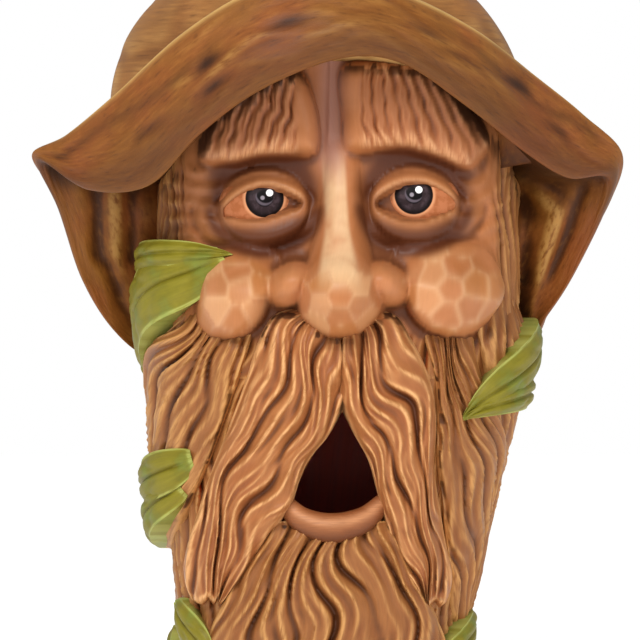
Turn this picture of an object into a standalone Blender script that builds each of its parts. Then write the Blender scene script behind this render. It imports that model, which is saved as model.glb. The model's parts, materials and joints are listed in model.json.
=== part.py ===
"""A tree spirit's bearded face under a floppy hat: one hollow casting for the garden.

The open mouth is the way into the nest hollow, the back is flat against the tree,
and the keyhole in the back takes the head of a screw.
"""

import math

import bmesh
import bpy
import numpy as np
from mathutils import Vector

# Driving dimensions, in metres.
HEIGHT = 0.366  # underside to the crown of the hat
WALL = 0.007  # cast wall of the nest hollow, at the bottom of the deepest gouges
BACK_WALL = 0.008
FLOOR = 0.010
ROOM_WIDTH = 0.916  # share of the width inside the walls that the nest room takes
ROOM_DEPTH = 0.888  # share of the depth
ROOM_SQUARENESS = 4.5  # 2 is an oval room, more has flatter walls and squarer corners
KEYHOLE_HEAD = 0.011  # round end, for the screw's head
KEYHOLE_SLOT = 0.0052  # slot, for its shank
KEYHOLE_RISE = 0.011  # centre of the round end to the top of the slot
KEYHOLE_HEIGHT = 0.314  # centre of the round end above the underside
CLAY_GRAIN = 0.0021  # finest form that the casting keeps
SHARE_KEPT = 0.0395  # of the fine faces, once flat places have few

# The carving is drawn in parts, and the height holds 366 of them, so at the real
# height a part is one millimetre. Depth is counted forwards from the flat back.
PARTS_HIGH = 366
PART = HEIGHT / PARTS_HIGH
MID_DEPTH = 89  # the middle of the whole depth, which stands over the origin

# The trunk that carries the face and the beard.
WIDEST_DEPTH = 48
BOXINESS = 2.3  # 2 is an ellipse, more is squarer
TUCK = 7  # how far the sides draw in behind the widest line
BEHIND = 14  # how far each form runs past the back before it is sawn flat


def ease(t):
    """A smooth step from 0 to 1."""
    t = np.clip(t, 0, 1)
    return t * t * (3 - 2 * t)


def half_width(z):
    return 68 + 21 * ease(z / 190)


def centre_line(z):
    return -3 + 9 * ease((z - 40) / 150)


def front_depth(z):
    return 112 + 10 * ease(z / 150)


# A quarter of the trunk's outline, from its front to its widest line, by length of arc.
QUARTER = np.linspace(0, math.pi / 2, 240)
QUARTER_X = np.sin(QUARTER) ** (2 / BOXINESS)
QUARTER_D = np.cos(QUARTER) ** (2 / BOXINESS)
QUARTER_ARC = np.concatenate(
    [[0], np.cumsum(np.hypot(np.diff(QUARTER_X) * 84, np.diff(QUARTER_D) * 72))]
)
HALF_WRAP = QUARTER_ARC[-1] + WIDEST_DEPTH + BEHIND


def unroll(x, z):
    """The place round the trunk, in parts from its front line, of what the front view shows at x.
    Past the widest line x goes on round the side."""
    share = (x - centre_line(z)) / half_width(z)
    inside = np.interp(np.abs(share), QUARTER_X, QUARTER_ARC)
    past = np.clip(np.abs(share) - 1, 0, None) * half_width(z)
    return np.sign(share) * (inside + past)


def wrap(u, z, lift):
    """x and depth of a point lifted off the trunk, u parts round it from the front line.
    Relief on the front grows straight forwards, and relief on the sides grows outwards."""
    across = np.interp(np.abs(u), QUARTER_ARC, QUARTER_X)
    deep = np.interp(np.abs(u), QUARTER_ARC, QUARTER_D)
    past = np.clip(np.abs(u) - QUARTER_ARC[-1], 0, None)
    depth_room = front_depth(z) - WIDEST_DEPTH
    out_x = across ** (BOXINESS - 1) / half_width(z)
    out_d = deep ** (BOXINESS - 1) / depth_room
    length = np.hypot(out_x, out_d)
    turn = ease((across - 0.75) / 0.22)
    out_x = out_x / length * turn
    out_d = out_d / length * turn + 1 - turn
    length = np.hypot(out_x, out_d)
    side = half_width(z) * across - TUCK * (past / WIDEST_DEPTH) ** 2
    x = centre_line(z) + np.sign(u) * (side + lift * out_x / length)
    depth = WIDEST_DEPTH + depth_room * deep - past + lift * out_d / length
    return x, depth


# Tools for relief.


def smooth_max(a, b, soft):
    """The higher of two reliefs, with a fillet of about that size in the corner."""
    near = np.clip(1 - np.abs(a - b) / soft, 0, 1)
    return np.maximum(a, b) + soft / 4 * near * near


def dome(x, z, centre, radii, height):
    """A raised ball, zero outside its outline."""
    r = ((x - centre[0]) / radii[0]) ** 2 + ((z - centre[1]) / radii[1]) ** 2
    return height * np.sqrt(np.clip(1 - r, 0, 1))


def hollow(x, z, centre, radii):
    """From 1 at the middle of an oval to 0 at its edge, with no corner at either."""
    r = ((x - centre[0]) / radii[0]) ** 2 + ((z - centre[1]) / radii[1]) ** 2
    return ease(1 - np.sqrt(r))


def curve(points, samples, closed=False):
    """A smooth curve through a few points."""
    points = np.array(points, float)
    count = len(points)
    ends = count if closed else count - 1
    t = np.linspace(0, ends, samples, endpoint=not closed)
    k = np.minimum(t.astype(int), ends - 1)
    f = (t - k)[:, None]
    if closed:
        a, b, c, d = (points[(k + i) % count] for i in (-1, 0, 1, 2))
    else:
        a, b, c, d = (points[np.clip(k + i, 0, count - 1)] for i in (-1, 0, 1, 2))
    return b + f * ((c - a) / 2 + f * ((a - 2.5 * b + 2 * c - d / 2) + f * (1.5 * (b - c) + (d - a) / 2)))


def depth_inside(x, z, outline):
    """How far each point lies inside a closed outline, and less than zero outside it."""
    line = curve(outline, 6 * len(outline), closed=True)
    nearest = np.full(x.shape, 1e9)
    within = np.zeros(x.shape, bool)
    for (ax, az), (bx, bz) in zip(line, np.roll(line, -1, axis=0)):
        ex, ez = bx - ax, bz - az
        t = np.clip(((x - ax) * ex + (z - az) * ez) / (ex * ex + ez * ez), 0, 1)
        nearest = np.minimum(nearest, np.hypot(x - ax - t * ex, z - az - t * ez))
        crosses = (az > z) != (bz > z)
        level = np.where(crosses, (z - az) / np.where(crosses, ez, 1), 0)
        within ^= crosses & (x < ax + level * ex)
    return np.where(within, nearest, -nearest)


def pillow(inside, edge, height):
    """Relief with a quarter-round edge of that width, and flat further in."""
    t = np.clip(inside / edge, 0, 1)
    return height * np.sqrt(1 - (1 - t) ** 2)


def gouge(phase):
    """One round cut of a gouge for each whole step of phase, 0 at the sharp crests and 1 in the cut."""
    f = phase - np.floor(phase)
    return 4 * f * (1 - f)


# The face, in the front view: x from the middle of the hat, z from the underside.

BROWS = {
    "left": [(-61, 254), (-46, 251), (-31, 254), (-8, 255), (-3, 262), (-5, 280), (-13, 296), (-30, 296), (-58, 276)],
    "right": [(10, 257), (35, 258), (52, 254), (65, 249), (72, 251), (79, 262), (73, 276), (52, 298), (21, 302),
              (6, 296), (7, 275)],
}
BROW_HEIGHT = 11
EYES = {
    "left": [(-50, 228), (-42, 236), (-31, 240), (-20, 238), (-11, 232), (-20, 228), (-30, 225), (-41, 225)],
    "right": [(23, 232), (31, 239), (41, 242), (52, 240), (62, 232), (54, 227), (43, 224), (32, 226)],
}
EYE_CENTRES = {"left": (-31, 232), "right": (42, 233)}
CHEEKS = {
    "left": [(-28, 205), (-44, 205), (-56, 199), (-62, 188), (-62, 177), (-58, 170), (-50, 167), (-39, 169),
             (-31, 176), (-26, 186), (-22, 197)],
    "right": [(34, 204), (54, 210), (72, 211), (80, 203), (83, 190), (80, 179), (72, 171), (61, 168), (49, 171),
              (41, 178), (37, 188)],
}
NOSE_WINGS = {"left": (-17, 193.5), "right": (27, 194)}
NOSE_BALL = (6.5, 188.5)
NOSE_LINE = [(268, 1), (255, 5), (238, 11), (218, 21), (202, 31), (190, 38), (170, 38)]
NOSE_HALF_WIDTH = [(268, 7), (238, 9.5), (218, 12.5), (202, 17), (188, 19.5), (170, 19)]
MOUTH = [(7, 136), (1, 122), (-7, 111), (-13, 99), (-16, 88), (-5, 84), (7, 83), (18, 85), (27, 92), (23, 106),
         (17, 117), (12, 127)]
LIP = [(-21, 87), (-13, 79), (-3, 75), (8, 75), (19, 79), (29, 88)]


def at_height(z, line):
    """A value given at a few heights, read at z."""
    heights, values = np.array(line[::-1], float).T
    return np.interp(z, heights, values)


def nose(x, z):
    half = at_height(z, NOSE_HALF_WIDTH)
    off = np.clip(np.abs(x - NOSE_BALL[0] - 0.02 * (z - 190)) / half, 0, 1)
    ridge = at_height(z, NOSE_LINE) * (1 - off**2.2) ** 0.75 * ease((z - 172) / 12)
    ridge *= 1 - ease((z - 258) / 12)
    form = smooth_max(ridge, dome(x, z, NOSE_BALL, (20, 20.5), 41), 6)
    for wing in NOSE_WINGS.values():
        form = smooth_max(form, dome(x, z, wing, (12, 11.5), 24), 5)
    return form


def eye(x, z, side):
    """The socket under the brow, the bag, the ball, and lids that stand round the slit."""
    centre = EYE_CENTRES[side]
    socket = -8 * hollow(x, z, (centre[0], centre[1] + 3), (30, 25))
    mound = dome(x, z, (centre[0], centre[1] - 2), (21.5, 17.5), 9)
    bag = dome(x, z, (centre[0], centre[1] - 7), (19, 9.5), 9)
    slit = depth_inside(x, z, EYES[side])
    lids = 2.6 * np.exp(-((slit / 5) ** 2)) * (slit <= 0)
    ball = dome(x, z, centre, (17, 15), 10) - 2.5
    open_skin = smooth_max(mound, bag, 3) + lids
    return socket + np.where(slit > 0, np.minimum(ball, open_skin), open_skin)


def cheek(x, z, side):
    inside = depth_inside(x, z, CHEEKS[side])
    return pillow(inside, 17, 23) * (1 - 0.45 * ease((z - 193) / 16))


def wrinkles(x, z):
    """Folds of bark at the temples, beside each eye."""
    form = 0
    for centre in ((-62, 224), (73, 226)):
        place = hollow(x, z, centre, (14, 26))
        bend = 0.012 * (x - centre[0]) ** 2
        form = form + 2.2 * place * np.cos((z - centre[1] + bend) * 2 * math.pi / 7)
    return form


def face(x, z):
    """Relief of the face over the trunk."""
    form = wrinkles(x, z)
    for side in ("left", "right"):
        form = form + eye(x, z, side)
    for side in ("left", "right"):
        inside = depth_inside(x, z, BROWS[side])
        hair = 1.4 * gouge((x + 0.25 * (z - 270) + 1.2 * np.sin(z / 5)) / 6)
        form = smooth_max(form, pillow(inside, 7, BROW_HEIGHT) - hair * ease(inside / 5), 1.5)
        form = smooth_max(form, cheek(x, z, side), 4)
    return smooth_max(form, nose(x, z), 4)


# Locks of beard and hair, cut with a round gouge.

LOCK_PITCH = 11.5
LOCK_DEPTH = 3.4


def trunk_flow(u, z):
    """Locks on the trunk spread out and wave as they fall from the cheeks."""
    spread = 0.74 + 0.30 * ease((178 - z) / 90)
    return u * spread + 3.0 * np.sin(z / 17 + u / 26)


def trunk_point(turn, height):
    """A point of the trunk's skin, turn from -1 to 1 round it and height from 0 to 1 up it."""
    straight = turn * HALF_WRAP
    z = height * (262 + 50 * ease((120 - np.abs(straight)) / 30))
    blend = ease((HALF_WRAP - np.abs(straight)) / 30)
    u = straight * (1 - blend) + trunk_flow(straight, z) * blend
    x, _ = wrap(u, z, 0)
    hair = np.maximum(ease((168 - z) / 8), ease((np.abs(x - centre_line(z)) - 74) / 8))
    hair = hair * (1 - ease((z - 262) / 12))
    lift = face(x, z) * (np.abs(u) < QUARTER_ARC[-1]) - LOCK_DEPTH * hair * gouge(straight / LOCK_PITCH)
    x, depth = wrap(u, z, lift)
    return x, depth, z


# Each side of the moustache lies between an inner and an outer line, top to bottom.
MOUSTACHE = {
    "left": (
        [(0, 172), (4, 162), (5, 148), (5, 135), (0, 121), (-8, 110), (-13, 99), (-17, 87), (-25, 75), (-32, 65),
         (-42, 51), (-55, 38)],
        [(-10, 184), (-25, 179), (-33, 166), (-38, 150), (-43, 136), (-49, 120), (-56, 105), (-63, 91), (-71, 76),
         (-78, 63), (-77, 50), (-67, 36)],
    ),
    "right": (
        [(9, 172), (9, 160), (9, 147), (9, 135), (14, 122), (20, 109), (24, 95), (28, 80), (32, 66), (37, 55),
         (43, 44), (49, 34)],
        [(17, 184), (33, 179), (41, 167), (48, 153), (52, 139), (53, 124), (52, 107), (54, 91), (57, 73), (59, 56),
         (58, 43), (54, 32)],
    ),
}
# Lobes of beard outside and below the moustache, given in the same way.
BEARD_LOBES = {
    "right": (
        [(50, 150), (53, 130), (54, 112), (56, 92), (57, 72), (58, 52), (60, 38), (64, 26)],
        [(66, 150), (72, 132), (79, 112), (82, 92), (82, 70), (78, 50), (73, 38), (68, 26)],
    ),
    "chin": (
        [(-14, 76), (-24, 60), (-34, 42), (-44, 22), (-50, -4)],
        [(20, 76), (29, 60), (38, 42), (44, 22), (50, -4)],
    ),
}


def lock_slab(lines, locks, thick, wave, back=-4.0):
    """How a slab of hair lies on the trunk between two lines: a function of the share across it,
    the share along it, and the layer, 0 in front and 1 behind."""
    inner, outer = (np.array(line, float) for line in lines)
    inner[:, 0] = unroll(inner[:, 0], inner[:, 1])
    outer[:, 0] = unroll(outer[:, 0], outer[:, 1])
    fine = np.linspace(0, 1, 120)
    inner, outer = curve(inner, 120), curve(outer, 120)

    def place(across, along, layer):
        start = [np.interp(along, fine, inner[:, i]) for i in (0, 1)]
        end = [np.interp(along, fine, outer[:, i]) for i in (0, 1)]
        width = np.hypot(end[0] - start[0], end[1] - start[1])
        sway = wave * np.sin(along * 9 + across * 4) * np.sin(across * math.pi) / np.maximum(width, 8)
        share = across + sway
        u = start[0] + (end[0] - start[0]) * share
        z = start[1] + (end[1] - start[1]) * share
        edge = np.minimum(across, 1 - across) * width
        body = pillow(edge, 10, thick) * (0.55 + 0.45 * ease(along * 5)) * (0.5 + 0.5 * ease((1 - along) * 5))
        cuts = LOCK_DEPTH * gouge(across * locks) * ease(edge / 4)
        x, depth = wrap(u, z, np.where(layer > 0.5, back, body - cuts))
        return x, depth, z

    return place


# Leaves grow on the sides: the base, the tip, the width and how far the midrib bows.
LEAVES = {
    "cheek_top": ((-91, 206), (-45, 209), 15, 4),
    "cheek_low": ((-49, 206), (-88, 148), 31, -11),
    "cheek_side": ((-70, 206), (-98, 176), 20, 4),
    "beard_left_top": ((-60, 112), (-92, 97), 24, 3),
    "beard_left_low": ((-66, 97), (-84, 62), 22, -3),
    "beard_right_top": ((108, 172), (65, 128), 24, -7),
    "beard_right_low": ((99, 141), (65, 129), 15, -5),
    "foot_left": ((-78, 46), (-48, 6), 22, 4),
    "foot_left_back": ((-90, 40), (-72, 4), 22, -2),
    "foot_right": ((78, 34), (46, 10), 22, -5),
    "foot_right_back": ((92, 36), (76, 4), 22, 3),
}


def leaf_slab(base, tip, width, bow, lift=9.0, back=-3.0):
    """A leaf that hugs the trunk, folded a little along its midrib."""
    base_u, tip_u = unroll(base[0], base[1]), unroll(tip[0], tip[1])
    run = np.array([tip_u - base_u, tip[1] - base[1]], float)
    length = np.hypot(*run)
    side = np.array([-run[1], run[0]]) / length

    def place(across, along, layer):
        half = width / 2 * np.sin(math.pi * np.clip(0.06 + 0.94 * along, 0, 1) ** 0.8) ** 0.75 + 0.25
        off = (2 * across - 1) * half + bow * np.sin(math.pi * along)
        u = base_u + run[0] * along + side[0] * off
        z = base[1] + run[1] * along + side[1] * off
        rib = 1 - np.abs(2 * across - 1)
        body = lift * (0.55 + 0.45 * np.sin(math.pi * along)) - 2.6 * ease(1 - rib * 1.8) - 1.3 * ease(rib * 4 - 3)
        x, depth = wrap(u, z, np.where(layer > 0.5, back, body))
        return x, depth, z

    return place


# The hat. Its brim rolls up in front, runs out to a tip on each side, and droops behind them.
CROWN_CENTRE = (-4, 82, 276.5)  # x, depth, z
CROWN_RADII = (101, 80, PARTS_HIGH - 276.5)
CROWN_REAR = 2.1  # it is that much longer behind, so that the back saws through it where it is wide
BRIM_CREST = [(-92, 182, 4), (-106, 200, 22), (-119, 222, 40), (-131, 244, 62), (-139, 258, 84), (-124, 267, 99),
              (-101, 285, 121), (-68, 313, 145), (-33, 333, 156), (4, 339, 158), (39, 330, 153), (72, 314, 139),
              (99, 295, 112), (122, 277, 98), (139, 259, 86), (136, 240, 64), (122, 215, 42), (110, 195, 24),
              (101, 178, 6)]
BRIM_EDGE = [(-86, 157, 26), (-105, 171, 42), (-120, 196, 56), (-129, 228, 70), (-138, 253, 89), (-116, 240, 110),
             (-86, 242, 131), (-60, 266, 156), (-31, 286, 171), (6, 300, 177), (35, 298, 171), (66, 279, 153),
             (97, 257, 124), (118, 246, 106), (138, 246, 91), (133, 225, 72), (120, 196, 58), (109, 178, 44),
             (99, 164, 28)]


def brim_sections():
    """Seven points of the brim's section at each station, as x, z and depth."""
    crest, edge = np.array(BRIM_CREST, float), np.array(BRIM_EDGE, float)
    bearing = np.arctan2(crest[:, 0] - CROWN_CENTRE[0], crest[:, 2] - CROWN_CENTRE[1])
    sin, cos = np.sin(bearing), np.cos(bearing)
    tip = np.exp(-(((np.abs(crest[:, 0]) - 141) / 12) ** 2))
    neck_z = edge[:, 1] + 8 + 4 * np.clip(cos, 0, 1) - 16 * tip
    seat = np.maximum(neck_z + 12, crest[:, 1] - 24)
    rolled = np.stack([CROWN_CENTRE[0] + 90 * sin, seat, CROWN_CENTRE[1] + 72 * cos], 1)
    behind = (CROWN_CENTRE[1] - crest[:, 2]) / (CROWN_RADII[1] * CROWN_REAR)
    bonnet = np.stack([CROWN_CENTRE[0] + np.sign(sin) * 98 * np.sqrt(1 - behind**2), 0 * sin + 263, crest[:, 2]], 1)
    top = np.where((crest[:, 2] < CROWN_CENTRE[1])[:, None], bonnet, rolled)
    belly = (crest + edge) / 2 + np.stack([3 * sin, np.zeros_like(sin), 7 * np.clip(cos, 0, 1) + 1], 1)
    neck_d = np.where(cos > 0, WIDEST_DEPTH + 64 * cos, edge[:, 2] - 16)
    neck = np.stack([4 + 84 * sin, neck_z, neck_d], 1)
    under = edge + (neck - edge) * 0.2
    core = (top + neck) / 2 * np.array([0.75, 1, 0.9])
    return [top, crest, belly, edge, under, neck, core]


def close_behind(line):
    """Carries the brim's line on behind the sawn back, so that it closes into a ring."""
    first, last = line[0] - [0, 8, 45], line[-1] - [0, 8, 45]
    first[0], last[0] = first[0] * 0.6, last[0] * 0.6
    return np.vstack([[first], line, [last]])


def brim_point(round_it, section):
    """A point of the brim, round_it from 0 to 1 along the ring, section from 0 to 1 round its profile."""
    lines = [close_behind(line) for line in brim_sections()]
    stations = len(lines[0])
    at = round_it * stations
    k = np.floor(at).astype(int)
    f = (at - k)[:, None]

    def along(line):
        a, b, c, d = (line[(k + i) % stations] for i in (-1, 0, 1, 2))
        return b + f * ((c - a) / 2 + f * ((a - 2.5 * b + 2 * c - d / 2) + f * (1.5 * (b - c) + (d - a) / 2)))

    knots = [along(line) for line in lines]
    count = len(knots)
    spot = section * count
    j = np.floor(spot).astype(int) % count
    g = (spot - np.floor(spot))[:, None]
    stack = np.array(knots)
    rows = np.arange(len(j))
    a, b, c, d = (stack[(j + i) % count, rows] for i in (-1, 0, 1, 2))
    point = b + g * ((c - a) / 2 + g * ((a - 2.5 * b + 2 * c - d / 2) + g * (1.5 * (b - c) + (d - a) / 2)))
    return point[:, 0], point[:, 2], point[:, 1]


# Making the clay forms from Blender's primitives.


def to_metres(x, depth, z):
    return np.stack([x, MID_DEPTH - depth, z], 1) * PART


def read_points(mesh):
    points = np.empty(len(mesh.vertices) * 3)
    mesh.vertices.foreach_get("co", points)
    return points.reshape(-1, 3)


def put_points(obj, points):
    obj.data.vertices.foreach_set("co", points.ravel())
    obj.data.update()
    mesh = bmesh.new()
    mesh.from_mesh(obj.data)
    bmesh.ops.recalc_face_normals(mesh, faces=mesh.faces)
    mesh.to_mesh(obj.data)
    mesh.free()
    return obj


def new_object(name, mesh):
    data = bpy.data.meshes.new(name)
    mesh.to_mesh(data)
    mesh.free()
    obj = bpy.data.objects.new(name, data)
    bpy.context.scene.collection.objects.link(obj)
    return obj


def make_slab(name, across, along, place):
    """A flat grid, extruded into two layers, whose points are then laid on the trunk."""
    mesh = bmesh.new()
    bmesh.ops.create_grid(mesh, x_segments=across, y_segments=along, size=0.5)
    made = bmesh.ops.extrude_face_region(mesh, geom=mesh.faces[:])
    moved = [v for v in made["geom"] if isinstance(v, bmesh.types.BMVert)]
    bmesh.ops.translate(mesh, vec=Vector((0, 0, 1)), verts=moved)
    obj = new_object(name, mesh)
    flat = read_points(obj.data)
    return put_points(obj, to_metres(*place(flat[:, 0] + 0.5, flat[:, 1] + 0.5, flat[:, 2])))


def make_trunk(round_it, up):
    mesh = bmesh.new()
    bmesh.ops.create_cone(mesh, cap_ends=True, segments=round_it, radius1=1, radius2=1, depth=1)
    walls = [e for e in mesh.edges if abs(e.verts[0].co.z - e.verts[1].co.z) > 0.5]
    bmesh.ops.subdivide_edges(mesh, edges=walls, cuts=up, use_grid_fill=True)
    obj = new_object("trunk", mesh)
    flat = read_points(obj.data)
    step = 2 * math.pi / round_it
    turn = np.round((np.arctan2(flat[:, 0], flat[:, 1])) / step) * step + step / 2
    turn = np.where(turn > math.pi, turn - 2 * math.pi, turn) / math.pi
    return put_points(obj, to_metres(*trunk_point(turn, flat[:, 2] + 0.5)))


def make_crown(round_it, up):
    bpy.ops.mesh.primitive_uv_sphere_add(segments=round_it, ring_count=up, radius=1)
    obj = bpy.context.object
    ball = read_points(obj.data)
    bearing = np.arctan2(ball[:, 0], -ball[:, 1])
    crease = 2.2 * (1 - ball[:, 2] ** 2) * np.cos(5 * bearing + 2.5 * ball[:, 2]) * ease(ball[:, 2] * 3 + 1)
    x = CROWN_CENTRE[0] + ball[:, 0] * (CROWN_RADII[0] + crease)
    z = CROWN_CENTRE[2] + ball[:, 2] * np.where(ball[:, 2] > 0, CROWN_RADII[2], 40)
    forward = -ball[:, 1] * (CROWN_RADII[1] + crease)
    tucked = 0.08 + 0.92 * ease((z - 248 - 46 * np.clip(np.cos(bearing), 0, 1)) / 14)
    depth = CROWN_CENTRE[1] + forward * np.where(forward > 0, tucked, CROWN_REAR)
    return put_points(obj, to_metres(x, depth, z))


def make_brim(round_it, section):
    bpy.ops.mesh.primitive_torus_add(
        major_segments=round_it, minor_segments=section, major_radius=1, minor_radius=0.25
    )
    obj = bpy.context.object
    ring = read_points(obj.data)
    far = np.hypot(ring[:, 0], ring[:, 1])
    major = np.arctan2(ring[:, 1], ring[:, 0]) / (2 * math.pi) % 1
    minor = np.arctan2(ring[:, 2], far - 1) / (2 * math.pi) % 1
    return put_points(obj, to_metres(*brim_point(major, minor)))


def make_lip(sides):
    """The lower lip: a thick curve, thin at its corners."""
    data = bpy.data.curves.new("lip", "CURVE")
    data.dimensions = "3D"
    data.bevel_depth = 6.2 * PART
    data.bevel_resolution = sides
    data.use_fill_caps = True
    line = curve(LIP, 25)
    spline = data.splines.new("POLY")
    spline.points.add(len(line) - 1)
    _, depth = wrap(unroll(line[:, 0], line[:, 1]), line[:, 1], np.full(len(line), 7.0))
    spots = to_metres(line[:, 0], depth, line[:, 1])
    for i, (point, spot) in enumerate(zip(spline.points, spots)):
        point.co = (*spot, 1)
        point.radius = 0.55 + 0.45 * math.sin(math.pi * i / (len(line) - 1))
    bent = bpy.data.objects.new("lip_line", data)
    bpy.context.scene.collection.objects.link(bent)
    solid = bpy.data.meshes.new_from_object(bent.evaluated_get(bpy.context.evaluated_depsgraph_get()))
    bpy.data.objects.remove(bent)
    obj = bpy.data.objects.new("lip", solid)
    bpy.context.scene.collection.objects.link(obj)
    return obj


def make_clay():
    """Every form of the sculpture, as closed and overlapping pieces of clay."""
    forms = [make_trunk(190, 150), make_crown(72, 40), make_brim(260, 42), make_lip(4)]
    for side, lines in MOUSTACHE.items():
        forms.append(make_slab("moustache_" + side, 40, 60, lock_slab(lines, 5, 15, 4)))
    forms.append(make_slab("beard_right", 24, 60, lock_slab(BEARD_LOBES["right"], 3, 8, 3)))
    forms.append(make_slab("beard_chin", 56, 40, lock_slab(BEARD_LOBES["chin"], 7, 9, 4)))
    for name, shape in LEAVES.items():
        forms.append(make_slab("leaf_" + name, 12, 20, leaf_slab(*shape)))
    return forms


# Cutters.


def make_cutter(name, mesh, place):
    obj = new_object(name, mesh)
    obj.location = place
    obj.hide_render = True
    obj.display_type = "WIRE"
    for old in obj.users_collection:
        old.objects.unlink(obj)
    bpy.data.collections["cutters"].objects.link(obj)
    return obj


def saw(name, low, high):
    """A block between two corners, in metres."""
    mesh = bmesh.new()
    bmesh.ops.create_cube(mesh, size=1)
    size = [b - a for a, b in zip(low, high)]
    bmesh.ops.scale(mesh, vec=size, verts=mesh.verts)
    return make_cutter(name, mesh, [(a + b) / 2 for a, b in zip(low, high)])


def nest_hollow(round_it, up):
    """The room inside: it follows the trunk and then the crown, a wall's thickness in."""
    mesh = bmesh.new()
    bmesh.ops.create_cone(mesh, cap_ends=True, segments=round_it, radius1=1, radius2=1, depth=1)
    walls = [e for e in mesh.edges if abs(e.verts[0].co.z - e.verts[1].co.z) > 0.5]
    bmesh.ops.subdivide_edges(mesh, edges=walls, cuts=up, use_grid_fill=True)
    obj = make_cutter("nest_hollow", mesh, (0, 0, 0))
    flat = read_points(obj.data)
    wall = WALL / PART
    back = BACK_WALL / PART
    floor = FLOOR / PART
    roof = PARTS_HIGH - 2 * wall
    z = floor + (roof - floor) * np.sin((flat[:, 2] + 0.5) * math.pi / 2)
    bearing = np.arctan2(flat[:, 0], flat[:, 1])
    inside_hat = ease((z - 262) / 30)
    rise = (z - CROWN_CENTRE[2]) / (roof + 1 - CROWN_CENTRE[2])
    dome_scale = np.sqrt(1 - np.clip(rise, 0, 1) ** 2)
    trunk_x = half_width(z) - wall - LOCK_DEPTH
    hat_x = (CROWN_RADII[0] - wall - 5) * dome_scale
    half_x = trunk_x + (hat_x - trunk_x) * inside_hat
    half_d = (front_depth(z) - wall - LOCK_DEPTH - back) / 2 * (0.2 + 0.8 * dome_scale)
    middle = back + half_d
    sin, cos = np.sin(bearing), np.cos(bearing)
    power = 2 / ROOM_SQUARENESS
    x = centre_line(z) + ROOM_WIDTH * half_x * np.sign(sin) * np.abs(sin) ** power
    depth = middle + ROOM_DEPTH * half_d * np.sign(cos) * np.abs(cos) ** power
    return put_points(obj, to_metres(x, depth, z))


def mouth_cutter():
    """A prism of the mouth's outline, from the hollow to well past the beard."""
    line = curve(MOUTH, 4 * len(MOUTH), closed=True)
    mesh = bmesh.new()
    rim = [mesh.verts.new(((x) * PART, (MID_DEPTH - 200) * PART, z * PART)) for x, z in line]
    face_made = mesh.faces.new(rim)
    made = bmesh.ops.extrude_face_region(mesh, geom=[face_made])
    moved = [v for v in made["geom"] if isinstance(v, bmesh.types.BMVert)]
    bmesh.ops.translate(mesh, vec=Vector((0, 130 * PART, 0)), verts=moved)
    bmesh.ops.recalc_face_normals(mesh, faces=mesh.faces)
    return make_cutter("mouth_cut", mesh, (0, 0, 0))


def keyhole_cutter():
    """A round hole with a slot above it, through the back wall."""
    radius, half = KEYHOLE_HEAD / 2, KEYHOLE_SLOT / 2
    meet = math.asin(half / radius)
    round_end = [
        (radius * math.sin(a), radius * math.cos(a))
        for a in np.linspace(meet, 2 * math.pi - meet, 19)
    ]
    slot_top = KEYHOLE_RISE - half
    slot_end = [(half * math.cos(a), slot_top + half * math.sin(a)) for a in np.linspace(math.pi, 0, 7)]
    back = MID_DEPTH * PART
    mesh = bmesh.new()
    rim = [mesh.verts.new((x, back + BACK_WALL, z + KEYHOLE_HEIGHT)) for x, z in round_end + slot_end]
    face_made = mesh.faces.new(rim)
    made = bmesh.ops.extrude_face_region(mesh, geom=[face_made])
    moved = [v for v in made["geom"] if isinstance(v, bmesh.types.BMVert)]
    bmesh.ops.translate(mesh, vec=Vector((0, -3 * BACK_WALL, 0)), verts=moved)
    bmesh.ops.recalc_face_normals(mesh, faces=mesh.faces)
    return make_cutter("keyhole_cut", mesh, (0, 0, 0))


def painted_resin():
    material = bpy.data.materials.new("painted_resin")
    material.use_nodes = True
    shader = material.node_tree.nodes["Principled BSDF"]
    shader.inputs["Base Color"].default_value = (0.36, 0.17, 0.08, 1)
    shader.inputs["Roughness"].default_value = 0.6
    shader.inputs["Metallic"].default_value = 0.0
    return material


def cut(obj, cutter):
    modifier = obj.modifiers.new(cutter.name, "BOOLEAN")
    modifier.operation = "DIFFERENCE"
    modifier.object = cutter


def cast(forms):
    """Joins the clay into one body, keeps few faces where it is plain, and cuts it."""
    bpy.ops.object.select_all(action="DESELECT")
    for form in forms:
        form.select_set(True)
    bpy.context.view_layer.objects.active = forms[0]
    bpy.ops.object.join()
    body = bpy.context.object
    body.name = "birdhouse_casting"
    body.data.materials.clear()
    body.data.materials.append(painted_resin())
    grain = body.modifiers.new("grain", "REMESH")
    grain.mode = "VOXEL"
    grain.voxel_size = CLAY_GRAIN
    fewer = body.modifiers.new("fewer", "DECIMATE")
    fewer.ratio = SHARE_KEPT
    far = HEIGHT * 2
    back = MID_DEPTH * PART
    cut(body, saw("back_saw", (-far, back, -far), (far, far, far)))
    cut(body, saw("foot_saw", (-far, -far, -far), (far, far, 0)))
    cut(body, nest_hollow(40, 22))
    cut(body, mouth_cutter())
    cut(body, keyhole_cutter())
    return body


def main():
    for obj in list(bpy.data.objects):
        bpy.data.objects.remove(obj)
    cutters = bpy.data.collections.new("cutters")
    bpy.context.scene.collection.children.link(cutters)
    cutters.hide_render = True
    body = cast(make_clay())
    birdhouse = bpy.data.collections.new("tree_face_birdhouse")
    bpy.context.scene.collection.children.link(birdhouse)
    for old in body.users_collection:
        old.objects.unlink(body)
    birdhouse.objects.link(body)


main()
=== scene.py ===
# %% [markdown]
# # A bearded tree face that birds nest in
# The real object is one hollow casting, cut to look like carved wood and then painted: a face with a long
# beard, a floppy hat, a few leaves, and an open mouth that leads into the nest room. This lesson dresses
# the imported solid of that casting. A casting could be sculpted by hand, but here each form is a Blender
# primitive whose points are moved by a short rule, because a rule can be read, changed and run again.

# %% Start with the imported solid
import json
import math

import bpy
import numpy as np
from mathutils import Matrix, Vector
from mathutils.bvhtree import BVHTree

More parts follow.
